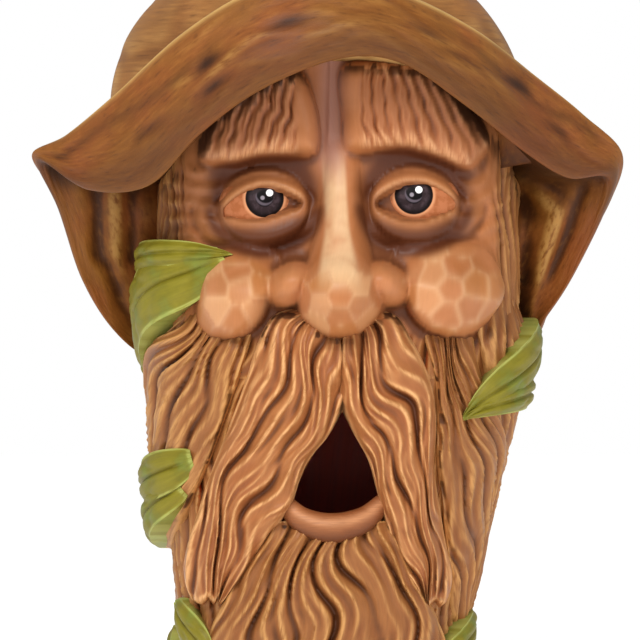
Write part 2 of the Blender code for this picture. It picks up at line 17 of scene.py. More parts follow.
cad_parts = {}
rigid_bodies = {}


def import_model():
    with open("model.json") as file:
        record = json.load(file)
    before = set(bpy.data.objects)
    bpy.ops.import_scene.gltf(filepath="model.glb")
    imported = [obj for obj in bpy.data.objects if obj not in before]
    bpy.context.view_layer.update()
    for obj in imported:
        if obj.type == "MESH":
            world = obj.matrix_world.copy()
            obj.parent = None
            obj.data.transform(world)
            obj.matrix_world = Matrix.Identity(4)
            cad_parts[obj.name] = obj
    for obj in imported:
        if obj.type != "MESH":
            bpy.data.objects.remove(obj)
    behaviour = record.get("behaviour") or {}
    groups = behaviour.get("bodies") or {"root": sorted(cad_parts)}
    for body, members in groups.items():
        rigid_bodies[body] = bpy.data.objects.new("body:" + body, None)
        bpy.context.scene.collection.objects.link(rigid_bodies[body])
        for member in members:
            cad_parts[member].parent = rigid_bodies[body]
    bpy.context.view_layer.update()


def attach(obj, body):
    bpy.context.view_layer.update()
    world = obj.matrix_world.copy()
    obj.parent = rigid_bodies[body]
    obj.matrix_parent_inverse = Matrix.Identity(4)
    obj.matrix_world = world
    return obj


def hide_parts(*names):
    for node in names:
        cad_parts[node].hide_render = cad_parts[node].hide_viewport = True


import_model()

# %% [markdown]
# ## The units of the carving
# Everything is drawn in millimetres: x to the right of the middle of the hat, z up from the foot, and depth
# forwards from the flat back. Blender wants metres with the face looking along -Y, so one helper turns the
# carver's numbers into Blender's. The others read and write a mesh's points all at once.

# %% Units and small helpers
MM = 0.001
MID_DEPTH = 89  # mm from the flat back to the middle of the whole depth


def to_metres(x, depth, z):
    x, depth, z = np.broadcast_arrays(x, depth, z)
    return np.stack([x, MID_DEPTH - depth, z], -1) * MM


def read(parts, name, width=1, kind=float):
    """One value of each part of a mesh, as a table with that many columns."""
    values = np.empty(len(parts) * width, kind)
    parts.foreach_get(name, values)
    return values.reshape(-1, width)


def points_of(piece):
    return read(piece.data.vertices, "co", 3)


def move_points(piece, points):
    piece.data.vertices.foreach_set("co", np.asarray(points, float).ravel())
    piece.data.update()


def only(piece):
    """Makes a piece the only one selected, and the active one."""
    bpy.ops.object.select_all(action="DESELECT")
    piece.select_set(True)
    bpy.context.view_layer.objects.active = piece


def begin_with(primitive, name, **size):
    """Adds a primitive with nothing else selected, and names it."""
    bpy.ops.object.select_all(action="DESELECT")
    primitive(**size)
    piece = bpy.context.object
    piece.name = name
    return piece


def edit(piece, *steps):
    """Runs edit-mode steps on the whole of a piece."""
    only(piece)
    bpy.ops.object.mode_set(mode="EDIT")
    bpy.ops.mesh.select_all(action="SELECT")
    for step in steps:
        step()
    bpy.ops.object.mode_set(mode="OBJECT")


def face_outwards():
    bpy.ops.mesh.select_all(action="SELECT")
    bpy.ops.mesh.normals_make_consistent(inside=False)


def apply_modifier(piece, name):
    only(piece)
    bpy.ops.object.modifier_apply(modifier=name)


def write_number(piece, name, values):
    """Keeps one number for each point, which the paint can read."""
    values = np.broadcast_to(np.asarray(values, float), len(piece.data.vertices))
    piece.data.attributes.new(name, "FLOAT", "POINT").data.foreach_set("value", values.copy())


def write_place(piece, name, right, up):
    """Keeps a place for each point, in mm, which the paint can measure from."""
    right, up = np.broadcast_arrays(right, up)
    places = np.stack([right, up, 0 * right], 1)
    piece.data.attributes.new(name, "FLOAT_VECTOR", "POINT").data.foreach_set("vector", places.ravel())


DRAWN_OUT = 0.14  # brush streaks are that much denser across the grain than along it


def write_grain(piece, across, along):
    """Keeps each point's place in the grain, so that brush streaks run along the hair."""
    write_place(piece, "grain", across, DRAWN_OUT * np.asarray(along))


# %% [markdown]
# ## Rules for relief
# A carver thinks in domes, pillows, hollows and gouge cuts. Each of these is a small function of a place,
# and gives the height of the relief there. They could be sculpted with brushes, but as functions the same
# eye, cut or lock can be used on both sides.

# %% Domes, pillows, hollows and cuts


def ease(t):
    t = np.clip(t, 0, 1)
    return t * t * (3 - 2 * t)


def smooth_max(a, b, soft):
    """The higher of two reliefs, with a fillet of about that size where they meet."""
    near = np.clip(1 - np.abs(a - b) / soft, 0, 1)
    return np.maximum(a, b) + soft / 4 * near * near


def bump(distance, width):
    return np.exp(-((distance / width) ** 2))


def dome(x, z, centre, radii, height, fall=0):
    """Half a ball. Past its rim it stays level, or falls away by fall for each mm."""
    r = np.hypot((x - centre[0]) / radii[0], (z - centre[1]) / radii[1])
    return height * np.sqrt(np.clip(1 - r * r, 0, 1)) - fall * min(radii) * np.clip(r - 1, 0, None)


def hollow(x, z, centre, radii):
    r = ((x - centre[0]) / radii[0]) ** 2 + ((z - centre[1]) / radii[1]) ** 2
    return ease(1 - np.sqrt(r))


def pillow(inside, edge, height, fall=0):
    """A cushion over an outline, which falls away past it in the same way."""
    t = np.clip(inside / edge, 0, 1)
    return height * np.sqrt(1 - (1 - t) ** 2) + fall * np.minimum(inside, 0)


def gouge(phase):
    """One round cut for each whole step of phase: 0 at the sharp crests and 1 at the bottom of the cut."""
    f = phase - np.floor(phase)
    return 4 * f * (1 - f)


def blend_four(a, b, c, d, f):
    """A smooth way from b to c, as a bent batten takes it that also passes a and d."""
    return b + f * ((c - a) / 2 + f * ((a - 2.5 * b + 2 * c - d / 2) + f * (1.5 * (b - c) + (d - a) / 2)))


def curve(points, samples, closed=False):
    """A smooth curve through a few points."""
    points = np.array(points, float)
    count = len(points)
    ends = count if closed else count - 1
    t = np.linspace(0, ends, samples, endpoint=not closed)
    k = np.minimum(t.astype(int), ends - 1)
    f = (t - k)[:, None]
    if closed:
        four = (points[(k + i) % count] for i in (-1, 0, 1, 2))
    else:
        four = (points[np.clip(k + i, 0, count - 1)] for i in (-1, 0, 1, 2))
    return blend_four(*four, f)


def distance_to(x, z, line):
    """How far each place lies from a line of points."""
    nearest = np.full(np.shape(x), 1e9)
    for (ax, az), (bx, bz) in zip(line[:-1], line[1:]):
        ex, ez = bx - ax, bz - az
        t = np.clip(((x - ax) * ex + (z - az) * ez) / (ex * ex + ez * ez), 0, 1)
        nearest = np.minimum(nearest, np.hypot(x - ax - t * ex, z - az - t * ez))
    return nearest


def depth_inside(x, z, outline):
    """How far each place lies inside a closed outline, and less than zero outside it."""
    line = curve(outline, 6 * len(outline), closed=True)
    line = np.vstack([line, line[:1]])
    within = np.zeros(np.shape(x), bool)
    for (ax, az), (bx, bz) in zip(line[:-1], line[1:]):
        crosses = (az > z) != (bz > z)
        level = np.where(crosses, (z - az) / (bz - az if bz != az else 1), 0)
        within ^= crosses & (x < ax + level * (bx - ax))
    far = distance_to(x, z, line)
    return np.where(within, far, -far)


# %% [markdown]
# ## The trunk under the face
# All the carving stands on one rounded trunk: flat behind, a squarish half-oval in front, wider at the
# cheeks than at the foot. Relief is measured round it with u, the length of arc from its front line, so a
# lock of hair keeps its width as it goes round the side. wrap turns u, z and a height of relief into a
# place.

# %% The trunk
WIDEST_DEPTH = 48  # mm from the flat back to where the trunk is widest
BOXINESS = 2.3  # 2 is an ellipse, and more is squarer
TUCK = 7  # how far the sides draw in from there to the back
BEHIND = 14  # how far the skin runs on behind the flat back, until it is sawn off
MEAN_HALF_WIDTH, MEAN_FRONT = 84, 72  # of the front's half-oval, to measure its arc by


def half_width(z):
    return 68 + 21 * ease(z / 190)


def centre_line(z):
    return -3 + 9 * ease((z - 40) / 150)


def front_depth(z):
    return 112 + 10 * ease(z / 150)


QUARTER = np.linspace(0, math.pi / 2, 240)
QUARTER_X = np.sin(QUARTER) ** (2 / BOXINESS)
QUARTER_D = np.cos(QUARTER) ** (2 / BOXINESS)
QUARTER_STEPS = np.hypot(np.diff(QUARTER_X) * MEAN_HALF_WIDTH, np.diff(QUARTER_D) * MEAN_FRONT)
QUARTER_ARC = np.concatenate([[0], np.cumsum(QUARTER_STEPS)])
HALF_WRAP = QUARTER_ARC[-1] + WIDEST_DEPTH + BEHIND


def unroll(x, z):
    """The place round the trunk of what the front view shows at x."""
    share = (x - centre_line(z)) / half_width(z)
    inside = np.interp(np.abs(share), QUARTER_X, QUARTER_ARC)
    past = np.clip(np.abs(share) - 1, 0, None) * half_width(z)
    return np.sign(share) * (inside + past)


def wrap(u, z, lift):
    """x and depth of a point lifted off the trunk: forwards on the front, outwards on the sides."""
    across = np.interp(np.abs(u), QUARTER_ARC, QUARTER_X)
    deep = np.interp(np.abs(u), QUARTER_ARC, QUARTER_D)
    past = np.clip(np.abs(u) - QUARTER_ARC[-1], 0, None)
    room = front_depth(z) - WIDEST_DEPTH
    out_x = across ** (BOXINESS - 1) / half_width(z)
    out_d = deep ** (BOXINESS - 1) / room
    length = np.hypot(out_x, out_d)
    turn = ease((across - 0.75) / 0.22)
    out_x = out_x / length * turn
    out_d = out_d / length * turn + 1 - turn
    length = np.hypot(out_x, out_d)
    side = half_width(z) * across - TUCK * (past / WIDEST_DEPTH) ** 2
    x = centre_line(z) + np.sign(u) * (side + lift * out_x / length)
    return x, WIDEST_DEPTH + room * deep - past + lift * out_d / length


# %% [markdown]
# ## Hair cut with two gouges
# Locks of hair on a carving are cut twice. A wide gouge parts the mass into locks, and a narrow one runs
# long wavering cuts along them. Where two cuts meet, a sharp crest is left, and the painter later drags
# pale paint over it. The cuts waver, and each has a depth of its own that comes and goes, so no two look
# alike.

# %% Hair
CUTS_IN_A_LOCK = 2.6
DICE = np.random.default_rng(11).random(512)


def own(k, which=0):
    """A steady random number from 0 to 1 for each cut."""
    return DICE[(np.asarray(k).astype(int) * 7 + which * 131) % 512]


def hair(across, along, pitch, depth, seed=0.0):
    """Relief of hair at across and along, both in mm, with cuts about pitch wide."""
    sway = 0.5 * np.sin(along / 13 + across / 19 + seed)
    sway = sway + 0.26 * np.sin(along / 6.1 + across / 8 + 2.3 * seed)
    phase = across / pitch + sway + 0.35 * np.sin(across / 11 + seed)
    k = np.floor(phase)
    swell = 0.72 + 0.42 * np.sin(along / (9 + 8 * own(k)) + 6.3 * own(k, 1))
    cut = gouge(phase) * np.clip(swell, 0.15, None)
    fine_phase = 2 * phase + 0.3 * np.sin(along / 5 + seed)
    j = np.floor(fine_phase)
    fine_swell = ease(1.6 * np.sin(along / (7 + 6 * own(j, 2)) + 6.3 * own(j, 3)) - 0.1)
    lock_phase = phase / CUTS_IN_A_LOCK + 0.25 * np.sin(along / 21 + seed)
    f = lock_phase - np.floor(lock_phase)
    parting = bump(np.minimum(f, 1 - f), 0.12)
    return -depth * (cut + 0.33 * gouge(fine_phase) * fine_swell + 0.9 * parting - 0.75 * gouge(lock_phase))


def lock_tips(across, pitch, seed=0.0):
    """How far each lock's end falls short of the longest, in mm, so that the fall ends in points."""
    f = (across / pitch + 0.35 * np.sin(across / 11 + seed)) / CUTS_IN_A_LOCK
    k = np.floor(f)
    return 6 * np.abs(2 * (f - k) - 1) ** 1.4 + 5 * own(k, 1)


# %% [markdown]
# ## The face
# The face is a front view: brows, eyes, nose and cheeks are outlines and ovals over the trunk. The eyes sit
# in sockets under the brows, each with a raised lid round the slit and a bag beneath. The cheeks and the
# nose are not smooth: a flat chisel left facets on them, and a facet is just the tangent plane of the dome
# there.

# %% Outlines of the face, in mm
BROWS = {
    "left": [(-61, 254), (-46, 251), (-31, 254), (-8, 255), (-3, 262), (-5, 280), (-13, 296), (-30, 296),
             (-58, 276)],
    "right": [(10, 257), (35, 258), (52, 254), (65, 249), (72, 251), (79, 262), (73, 276), (52, 298),
              (21, 302), (6, 296), (7, 275)],
}
EYES = {
    "left": [(-50, 228), (-42, 236), (-31, 240), (-20, 238), (-11, 232), (-20, 228), (-30, 225), (-41, 225)],
    "right": [(23, 232), (31, 239), (41, 242), (52, 240), (62, 232), (54, 227), (43, 224), (32, 226)],
}
EYE_CENTRES = {"left": (-30, 232), "right": (42.5, 233)}
IRISES = {"left": (-29.7, 235.0), "right": (42.0, 236.5)}
CHEEKS = {
    "left": [(-26, 209), (-44, 211), (-57, 204), (-62, 190), (-62, 177), (-58, 170), (-50, 167),
             (-39, 169), (-31, 176), (-26, 186), (-21, 198)],
    "right": [(32, 208), (54, 213), (72, 213), (81, 205), (83.5, 190), (80, 179), (72, 171), (61, 168),
              (49, 171), (41, 178), (36, 190)],
}
NOSE_BALL = (6.5, 188.5)
NOSE_LINE = [(268, 1), (255, 5), (238, 11), (218, 21), (202, 31), (190, 38), (170, 38)]
NOSE_HALF_WIDTH = [(268, 7), (238, 9.5), (218, 12.5), (202, 17), (188, 19.5), (170, 19)]


def at_height(z, line):
    heights, values = np.array(line[::-1], float).T
    return np.interp(z, heights, values)


# %% Facets, eyes, brows, nose and cheeks


def faceted(x, z, centre, radii, height, spots, soften=0.3):
    """A dome made of tangent planes, one at each spot, and how far each place is from a facet's edge."""
    planes = []
    for sx, sz in spots:
        px, pz = sx / radii[0], sz / radii[1]
        root = math.sqrt(max(0.06, 1 - px * px - pz * pz))
        across = (x - centre[0]) / radii[0] - px
        up = (z - centre[1]) / radii[1] - pz
        planes.append(height * (root - (px * across + pz * up) / root))
    lowest, second = np.sort(planes, axis=0)[:2]
    smooth = dome(x, z, centre, radii, height, fall=2.5)
    # A random tone for each facet: painted light and shade, as if each facet caught the light differently.
    painted_facet_light = own(np.argmin(planes, axis=0) * 3 + int(abs(centre[0])), 2)
    return smooth * soften + lowest * (1 - soften), (second - lowest) / 0.45, painted_facet_light


def ring_of_spots(radius, count, start=0.0, squash=1.0):
    turns = [start + 2 * math.pi * i / count for i in range(count)]
    return [(radius * math.cos(turn), squash * radius * math.sin(turn)) for turn in turns]


MOUND = (22, 19)  # radii of the swelling over the eyeball
LID_CREASE = 5.8  # mm from the slit


def above_slit(z, side):
    return ease((z - EYE_CENTRES[side][1] + 3) / 6)


def eye_relief(x, z, side):
    centre = EYE_CENTRES[side]
    inside = depth_inside(x, z, EYES[side])
    out = -inside
    above = above_slit(z, side)
    lid = 1.6 * bump(out - 2.4, 2.4) - 1.5 * bump(out - LID_CREASE, 1.2) + 0.5 * bump(out - 8.4, 1.6)
    bag = 0.9 * bump(out - 1.2, 1.5) + 2.4 * bump(out - 8.5, 4.5) - 3.2 * bump(out - 15, 2.6)
    relief = -8.5 * hollow(x, z, (centre[0], centre[1] + 5), (35, 31))
    relief = relief + dome(x, z, (centre[0], centre[1] - 1), MOUND, 10)
    relief = relief + above * lid
    relief = relief + (1 - above) * bag
    return np.where(inside > 0, relief - 7 * ease(inside / 1.1), relief)


def shade_round_eye(x, z, side):
    """Where painted shade lies round the eye: the socket, and the edges of the lids and of the bag."""
    centre = EYE_CENTRES[side]
    out = -depth_inside(x, z, EYES[side])
    above = above_slit(z, side)
    bowl = ease(3.4 * hollow(x, z, (centre[0], centre[1] + 4), (36, 34)))
    mound = np.hypot((x - centre[0]) / MOUND[0], (z - centre[1] + 1) / MOUND[1])
    wash = bowl * ease((mound - 0.82) / 0.25) * (0.85 + 0.15 * above)
    wash = np.maximum(wash, (1 - above) * ease((out - 0.5) / 6) * ease((1.45 - mound) / 0.25))
    wash = np.maximum(wash, 0.6 * above * bump(out - LID_CREASE, 1.2))
    return np.maximum(wash, 0.9 * bump(out, 0.8)) * (out > -3)


BROW_ENDS = {"left": (-13, -1), "right": (15, 1)}  # where the hair starts, and which way it runs
BROW_FOOT = 254


def brow_hair(x, z, side):
    """How much of a brow is hair, and the cuts there, which lean out more with distance."""
    start, way = BROW_ENDS[side]
    off = (x - start) * way
    share = ease((off + 1) / 5) * ease((depth_inside(x, z, BROWS[side]) - 0.3) / 3)
    across = x + way * (0.08 + 0.009 * np.clip(off, 0, 60)) * (z - BROW_FOOT)
    across = across + 0.8 * np.sin(z / 2.9 + x / 7) + 0.5 * np.sin(z / 1.7 + x / 3.3)
    return share, hair(across, 1.6 * z, 2.7, 1.1, 21 + start)


def brow_relief(x, z, side):
    """Each brow is a cushion, rolled under along the eye, with wavering hair cut into it."""
    share, cuts = brow_hair(x, z, side)
    body = pillow(depth_inside(x, z, BROWS[side]), 9, 13, fall=4)
    return body + share * (cuts + 0.6) * (0.5 + 0.5 * ease((z - BROW_FOOT) / 10))


CHEEK_DOMES = {
    "left": ((-43, 187), (22, 22), [(3, 5)] + ring_of_spots(11.5, 6, 0.5) + ring_of_spots(19, 9, 0.2)),
    "right": ((60, 190), (25, 24), [(-1, 2)] + ring_of_spots(11.5, 6, 0.3) + ring_of_spots(20.5, 10, 0.1)),
}


def cheek_relief(x, z, side):
    """The cheek, and its distance from a facet's edge."""
    inside = depth_inside(x, z, CHEEKS[side])
    facets, edge, painted_facet_light = faceted(x, z, *CHEEK_DOMES[side][:2], 23, CHEEK_DOMES[side][2], 0.2)
    body = pillow(inside, 15, 24.5, fall=3)
    rise = 1 - 0.42 * ease((z - 190) / 20)
    return np.where(body > 0, np.minimum(body, facets) * rise, body), edge + 3 * (inside < 2), painted_facet_light


def nose_relief(x, z):
    """The nose with its wings, and the distance from a facet's edge."""
    half = at_height(z, NOSE_HALF_WIDTH)
    lean = (x - NOSE_BALL[0] - 0.02 * (z - 190)) / half
    off = np.abs(lean)
    ridge = at_height(z, NOSE_LINE) * (1 - np.clip(off, 0, 1) ** 2.8) ** 0.9 - 14 * np.clip(off - 1, 0, None)
    ridge = ridge * ease((z - 172) / 12) - 20 * ease((176 - z) / 6)
    ridge = ridge - (ridge > 0) * ridge * ease((z - 256) / 14)
    spots = [(0, -1)] + ring_of_spots(10.5, 6, 0.5) + ring_of_spots(17, 8, 0.1)
    ball, edge, painted_facet_light = faceted(x, z, NOSE_BALL, (20.5, 20.5), 41, spots, 0.4)
    form = smooth_max(ridge, ball, 11)
    for wing, tilt in (((-17, 193.5), 1), ((27.5, 194), -1)):
        spots = [(0, 0)] + ring_of_spots(7, 6, 0.9 * tilt)
        lump = faceted(x, z - 0.2 * tilt * (x - wing[0]), wing, (13, 10.5), 25, spots, 0.6)[0]
        edge = np.where(lump > form, 9, edge)
        form = smooth_max(form, lump, 5)
    return form, edge + 5 * ease((z - 204) / 6), painted_facet_light


def temple_relief(x, z):
    """Folds beside the eyes: bowls under the brow's end, then level creases."""
    form = 0
    for centre, reach in (((-63, 254), (20, 40)), ((72, 250), (19, 38))):
        r = np.hypot((x - centre[0]) * 0.85, z - centre[1])
        place = hollow(x, z, (centre[0], centre[1] - 19), reach) * ease((centre[1] + 4 - z) / 6)
        form = form + 2.2 * np.clip(place * 1.8, 0, 1) * (0.45 - gouge(r / 7.6 + 0.25 * np.sin(x / 6)))
    return form


def face_relief(x, z):
    form = temple_relief(x, z)
    form = form - 2.2 * bump(x - 2.3 - 0.04 * (z - 250), 4.6) * ease((z - 240) / 15)
    form = form + 0.25 * np.sin(x / 3.1 + 1.3 * np.sin(z / 9)) * ease((z - 285) / 8)
    for side in ("left", "right"):
        form = form + eye_relief(x, z, side)
    for side in ("left", "right"):
        form = smooth_max(form, brow_relief(x, z, side), 1.0)
        form = smooth_max(form, cheek_relief(x, z, side)[0], 3 + 9 * ease((z - 188) / 14))
    return smooth_max(form, nose_relief(x, z)[0], 4)


def facet_lines(x, z):
    """1 on the lines between facets and 0 away from them, and each facet's own tone of painted light and
    shade.
    """
    lines, painted_facet_lights = 0 * x, 0 * x + 0.5
    for side in ("left", "right"):
        form, edge, painted_facet_light = cheek_relief(x, z, side)
        lines = np.maximum(lines, bump(edge, 1.1) * ease(form / 8 - 0.4))
        painted_facet_lights = painted_facet_lights + (painted_facet_light - 0.5) * ease(form / 8 - 0.4)
    form, edge, painted_facet_light = nose_relief(x, z)
    there = ease(form / 10 - 0.8) * ease((206 - z) / 8)
    return np.maximum(lines, bump(edge, 1.1) * there), painted_facet_lights * (1 - there) + painted_facet_light * there


# %% [markdown]
# ## The trunk pieces
# A cylinder is cut into rings, and every point is then carried to its place round the trunk, lifted by the
# relief there. One piece holds the face, with fine rings, and one holds the beard below it, so neither mesh
# grows too heavy. Columns crowd together in front, where the eye looks, and spread out round the sides.

# %% Face and trunk of beard
ROOF_SIDE = 262  # the sides and back stop here, inside the hat


def edit_some(piece, kind, chosen, *steps):
    """Runs edit-mode steps on the chosen edges or faces of a piece alone."""
    only(piece)
    bpy.ops.object.mode_set(mode="EDIT")
    bpy.ops.mesh.select_all(action="DESELECT")
    bpy.ops.mesh.select_mode(type=kind)
    bpy.ops.object.mode_set(mode="OBJECT")
    parts = piece.data.edges if kind == "EDGE" else piece.data.polygons
    for i in chosen:
        parts[i].select = True
    bpy.ops.object.mode_set(mode="EDIT")
    for step in steps:
        step()
    bpy.ops.mesh.select_mode(type="VERT")
    bpy.ops.object.mode_set(mode="OBJECT")


def ringed_cylinder(name, columns, rings):
    """A capped cylinder, 1 high, with rings cut round it."""
    piece = begin_with(
        bpy.ops.mesh.primitive_cylinder_add, name, vertices=columns, radius=1, depth=1, end_fill_type="NGON"
    )
    height = points_of(piece)[:, 2]
    ends = height[read(piece.data.edges, "vertices", 2, int)]
    upright = np.flatnonzero(np.abs(ends[:, 0] - ends[:, 1]) > 0.5).tolist()
    edit_some(piece, "EDGE", upright, lambda: bpy.ops.mesh.subdivide(number_cuts=rings))
    return piece


def column_turn(flat, columns):
    """Where each column goes, from -1 to 1 round the trunk, with the gap at the back."""
    step = 2 * math.pi / columns
    angle = np.round(np.arctan2(flat[:, 0], flat[:, 1]) / step) * step + step / 2
    return np.where(angle > math.pi, angle - 2 * math.pi, angle) / (math.pi - step / 2)


def crowd(turn, share=0.55):
    return share * turn + (1 - share) * turn**3


def hair_place(x, z):
    """Where hair grows straight on the trunk: below the cheeks, and up the sides beside the face."""
    below = ease((172 - z) / 8)
    beside = ease((np.abs(x - centre_line(z)) - 73) / 7)
    return np.maximum(below, beside) * (1 - ease((z - 266) / 10))


def side_hair(x, z, straight):
    """Relief of the hair there."""
    lean = straight + np.sign(straight) * 0.25 * (z - 200) * ease((z - 160) / 30)
    return hair(lean, z, 5.6, 1.9, seed=7.0) * hair_place(x, z)


def trunk_flow(u, z):
    spread = 0.74 + 0.30 * ease((178 - z) / 90)
    return u * spread + 3.0 * np.sin(z / 17 + u / 26)


def shape_trunk(piece, columns, low, high, relief):
    flat = points_of(piece)
    straight = crowd(column_turn(flat, columns)) * HALF_WRAP
    share = flat[:, 2] + 0.5
    ceiling = high
    if high > ROOF_SIDE:
        ceiling = ROOF_SIDE + (high - ROOF_SIDE) * ease((120 - np.abs(straight)) / 30)
    z = low + share * (ceiling - low)
    blend = ease((HALF_WRAP - np.abs(straight)) / 30)
    u = straight * (1 - blend) + trunk_flow(straight, z) * blend
    x, _ = wrap(u, z, 0)
    lift = np.where(np.abs(u) < QUARTER_ARC[-1], relief(x, z), 0) + side_hair(x, z, straight)
    rear_corner = ease((z - 242) / 14) * ease((np.abs(straight) - QUARTER_ARC[-1] - 4) / 20)
    x, depth = wrap(u, z, lift - 7 * rear_corner)  # drawn in there, so that the brim covers it
    move_points(piece, to_metres(x, depth, z))
    write_grain(piece, straight, z)
    return wrap(u, z, 0)[0], z, straight


FACE_COLUMNS, TRUNK_COLUMNS = 400, 260
FACE_FOOT, FACE_TOP = 148, 312
TRUNK_TOP = 151  # the two pieces overlap by 3 mm, and the trunk's end is drawn in below the face

face = ringed_cylinder("face", FACE_COLUMNS, 256)
front_x, front_z, straight = shape_trunk(face, FACE_COLUMNS, FACE_FOOT, FACE_TOP, face_relief)
facet_mark, facet_tint = facet_lines(front_x, front_z)
browed = np.maximum(*(brow_hair(front_x, front_z, side)[0] for side in ("left", "right")))
# A painted highlight down the nose's ridge, where the light falls on its front.
off_ridge = np.abs(front_x - 4.5 + 0.05 * (front_z - 230)) / (5 + 5 * ease((225 - front_z) / 40))
worn = ease((front_z - 186) / 18) * ease((262 - front_z) / 22) * ease((1.35 - off_ridge) / 0.5)
face_masks = {
    "hairy": hair_place(front_x, front_z),
    "browed": browed * (np.abs(straight) < QUARTER_ARC[-1]),
    "facet_line": facet_mark,
    # painted light and shade, one tone for each facet
    "facet_tint": facet_tint,
    # painted highlight on the nose's ridge
    "worn": worn,
    "stripe": bump(front_x - 2.3, 6.0) * ease((front_z - 236) / 22),
    # painted shade round the eyes
    "eye_wash": np.maximum(*(shade_round_eye(front_x, front_z, side) for side in ("left", "right"))),
}
for name, mask in face_masks.items():
    write_number(face, name, mask)
top = max(face.data.polygons, key=lambda p: p.center.z * (len(p.vertices) > 100)).index
edit_some(
    face, "FACE", [top],
    lambda: bpy.ops.mesh.extrude_region_move(TRANSFORM_OT_translate={"value": (0, 0, 0)}),
    lambda: bpy.ops.transform.resize(value=(0.86, 0.8, 0), center_override=(0.006, 0.03, 0.256)),
)
edit(face, lambda: bpy.ops.mesh.vertices_smooth(factor=0.5, repeat=1))

trunk = ringed_cylinder("beard_trunk", TRUNK_COLUMNS, 128)
shape_trunk(trunk, TRUNK_COLUMNS, 0, TRUNK_TOP, lambda x, z: -0.5 * ease((z - 146) / 4))
print("face", len(face.data.polygons), "faces; trunk", len(trunk.data.polygons), "faces")

# %% [markdown]
# ## Falls of hair
# The moustache, the beard beside it and the beard on the chin are slabs laid on the trunk. A flat grid is
# extruded to two layers; its length follows the fall of the hair, between an inner and an outer line, so the
# cuts run along it whichever way it bends. A curve with a bevel could make each lock, but a slab keeps the
# locks joined the way a casting does.

# %% Moustache and beard
MOUSTACHE = {
    "left": (
        [(6, 174), (10, 162), (11, 148), (9, 136), (1, 121), (-8, 110), (-13, 99), (-17, 87), (-25, 75),
         (-32, 65), (-41, 51), (-52, 36)],
        [(-10, 184), (-25, 179), (-33, 166), (-38, 150), (-43, 136), (-49, 120), (-55, 105), (-60, 91),
         (-64, 76), (-66, 63), (-66, 49), (-62, 33)],
    ),
    "right": (
        [(3, 174), (2, 161), (3, 148), (6, 136), (13, 122), (20, 109), (24, 95), (28, 80), (32, 66),
         (37, 55), (43, 44), (49, 34)],
        [(17, 184), (33, 179), (41, 167), (48, 153), (52, 139), (53, 124), (52, 107), (54, 91), (57, 73),
         (59, 56), (58, 43), (54, 32)],
    ),
}
SIDE_FALLS = {
    "beard_left": (
        [(-31, 190), (-36, 168), (-42, 148), (-49, 128), (-56, 109), (-63, 93), (-71, 76), (-76, 60)],
        [(-64, 192), (-74, 174), (-83, 156), (-90, 139), (-95, 122), (-98, 106), (-98, 88), (-95, 68)],
    ),
    "beard_right": (
        [(42, 190), (47, 168), (52, 148), (53, 128), (53, 108), (56, 86), (58, 64), (60, 44), (62, 20)],
        [(70, 190), (71, 168), (76, 146), (82, 124), (85, 102), (85, 80), (82, 60), (77, 42), (70, 20)],
    ),
    "beard_far_right": (
        [(70, 196), (73, 170), (78, 146), (83, 122), (86, 98), (85, 74), (82, 52)],
        [(96, 196), (98, 170), (102, 146), (105, 122), (105, 98), (101, 76), (94, 54)],
    ),
}
CHIN = (
    [(-30, 80), (-38, 66), (-47, 46), (-57, 24), (-61, 0)],
    [(36, 80), (42, 66), (48, 46), (56, 24), (59, 0)],
)


def slab(name, across, along, place, size):
    """A grid in two layers: place says where a point goes by its share across, along, and its layer."""
    piece = begin_with(
        bpy.ops.mesh.primitive_grid_add, name, x_subdivisions=across, y_subdivisions=along, size=1
    )
    edit(piece, lambda: bpy.ops.mesh.extrude_region_move(TRANSFORM_OT_translate={"value": (0, 0, 1)}))
    flat = points_of(piece)
    move_points(piece, to_metres(*place(flat[:, 0] + 0.5, flat[:, 1] + 0.5, flat[:, 2])))
    write_grain(piece, (flat[:, 0] + 0.5) * size[0], (flat[:, 1] + 0.5) * size[1])
    edit(piece, face_outwards)
    return piece


LINE_SPOTS = 120  # how finely a fall's two lines are read


def fall_of_hair(lines, thick, pitch, depth, seed, swing=4.0, back=-4.0, tips=1.0, rises=False):
    """How a fall lies between two lines, and its size in mm."""
    inner, outer = (np.array(line, float) for line in lines)
    inner[:, 0] = unroll(inner[:, 0], inner[:, 1])
    outer[:, 0] = unroll(outer[:, 0], outer[:, 1])
    fine = np.linspace(0, 1, LINE_SPOTS)
    inner, outer = curve(inner, LINE_SPOTS), curve(outer, LINE_SPOTS)
    run = np.concatenate([[0], np.cumsum(np.hypot(*np.diff((inner + outer) / 2, axis=0).T))])
    full = np.interp(0.45, fine, np.hypot(*(outer - inner).T))

    def place(across, along, layer):
        start = [np.interp(along, fine, inner[:, i]) for i in (0, 1)]
        end = [np.interp(along, fine, outer[:, i]) for i in (0, 1)]
        width = np.hypot(end[0] - start[0], end[1] - start[1])
        sway = swing * np.sin(along * 9 + across * 4) * np.sin(across * math.pi) / np.maximum(width, 8)
        share = across + sway
        u = start[0] + (end[0] - start[0]) * share
        z = start[1] + (end[1] - start[1]) * share
        edge = np.minimum(across, 1 - across) * width
        length = np.interp(along, fine, run)
        cuts = hair(across * full, length, pitch, depth, seed)
        body = pillow(edge, 9, thick) * (0.55 + 0.45 * ease(along * 5)) * (0.5 + 0.5 * ease((1 - along) * 5))
        body = body + cuts * ease(edge / 3.5) * ease((body + 1) / 6)
        if rises:
            body = (body + 3) * ease(along * 4.5) - 3
        past_tip = ease(1 - (run[-1] - length - tips * lock_tips(across * full, pitch, seed)) / 5)
        body = body - (body + 5) * past_tip * (tips > 0)
        x, depth_there = wrap(u, z, np.where(layer > 0.5, np.minimum(back, body - 1), body))
        return x, depth_there, z

    return place, (full, run[-1])


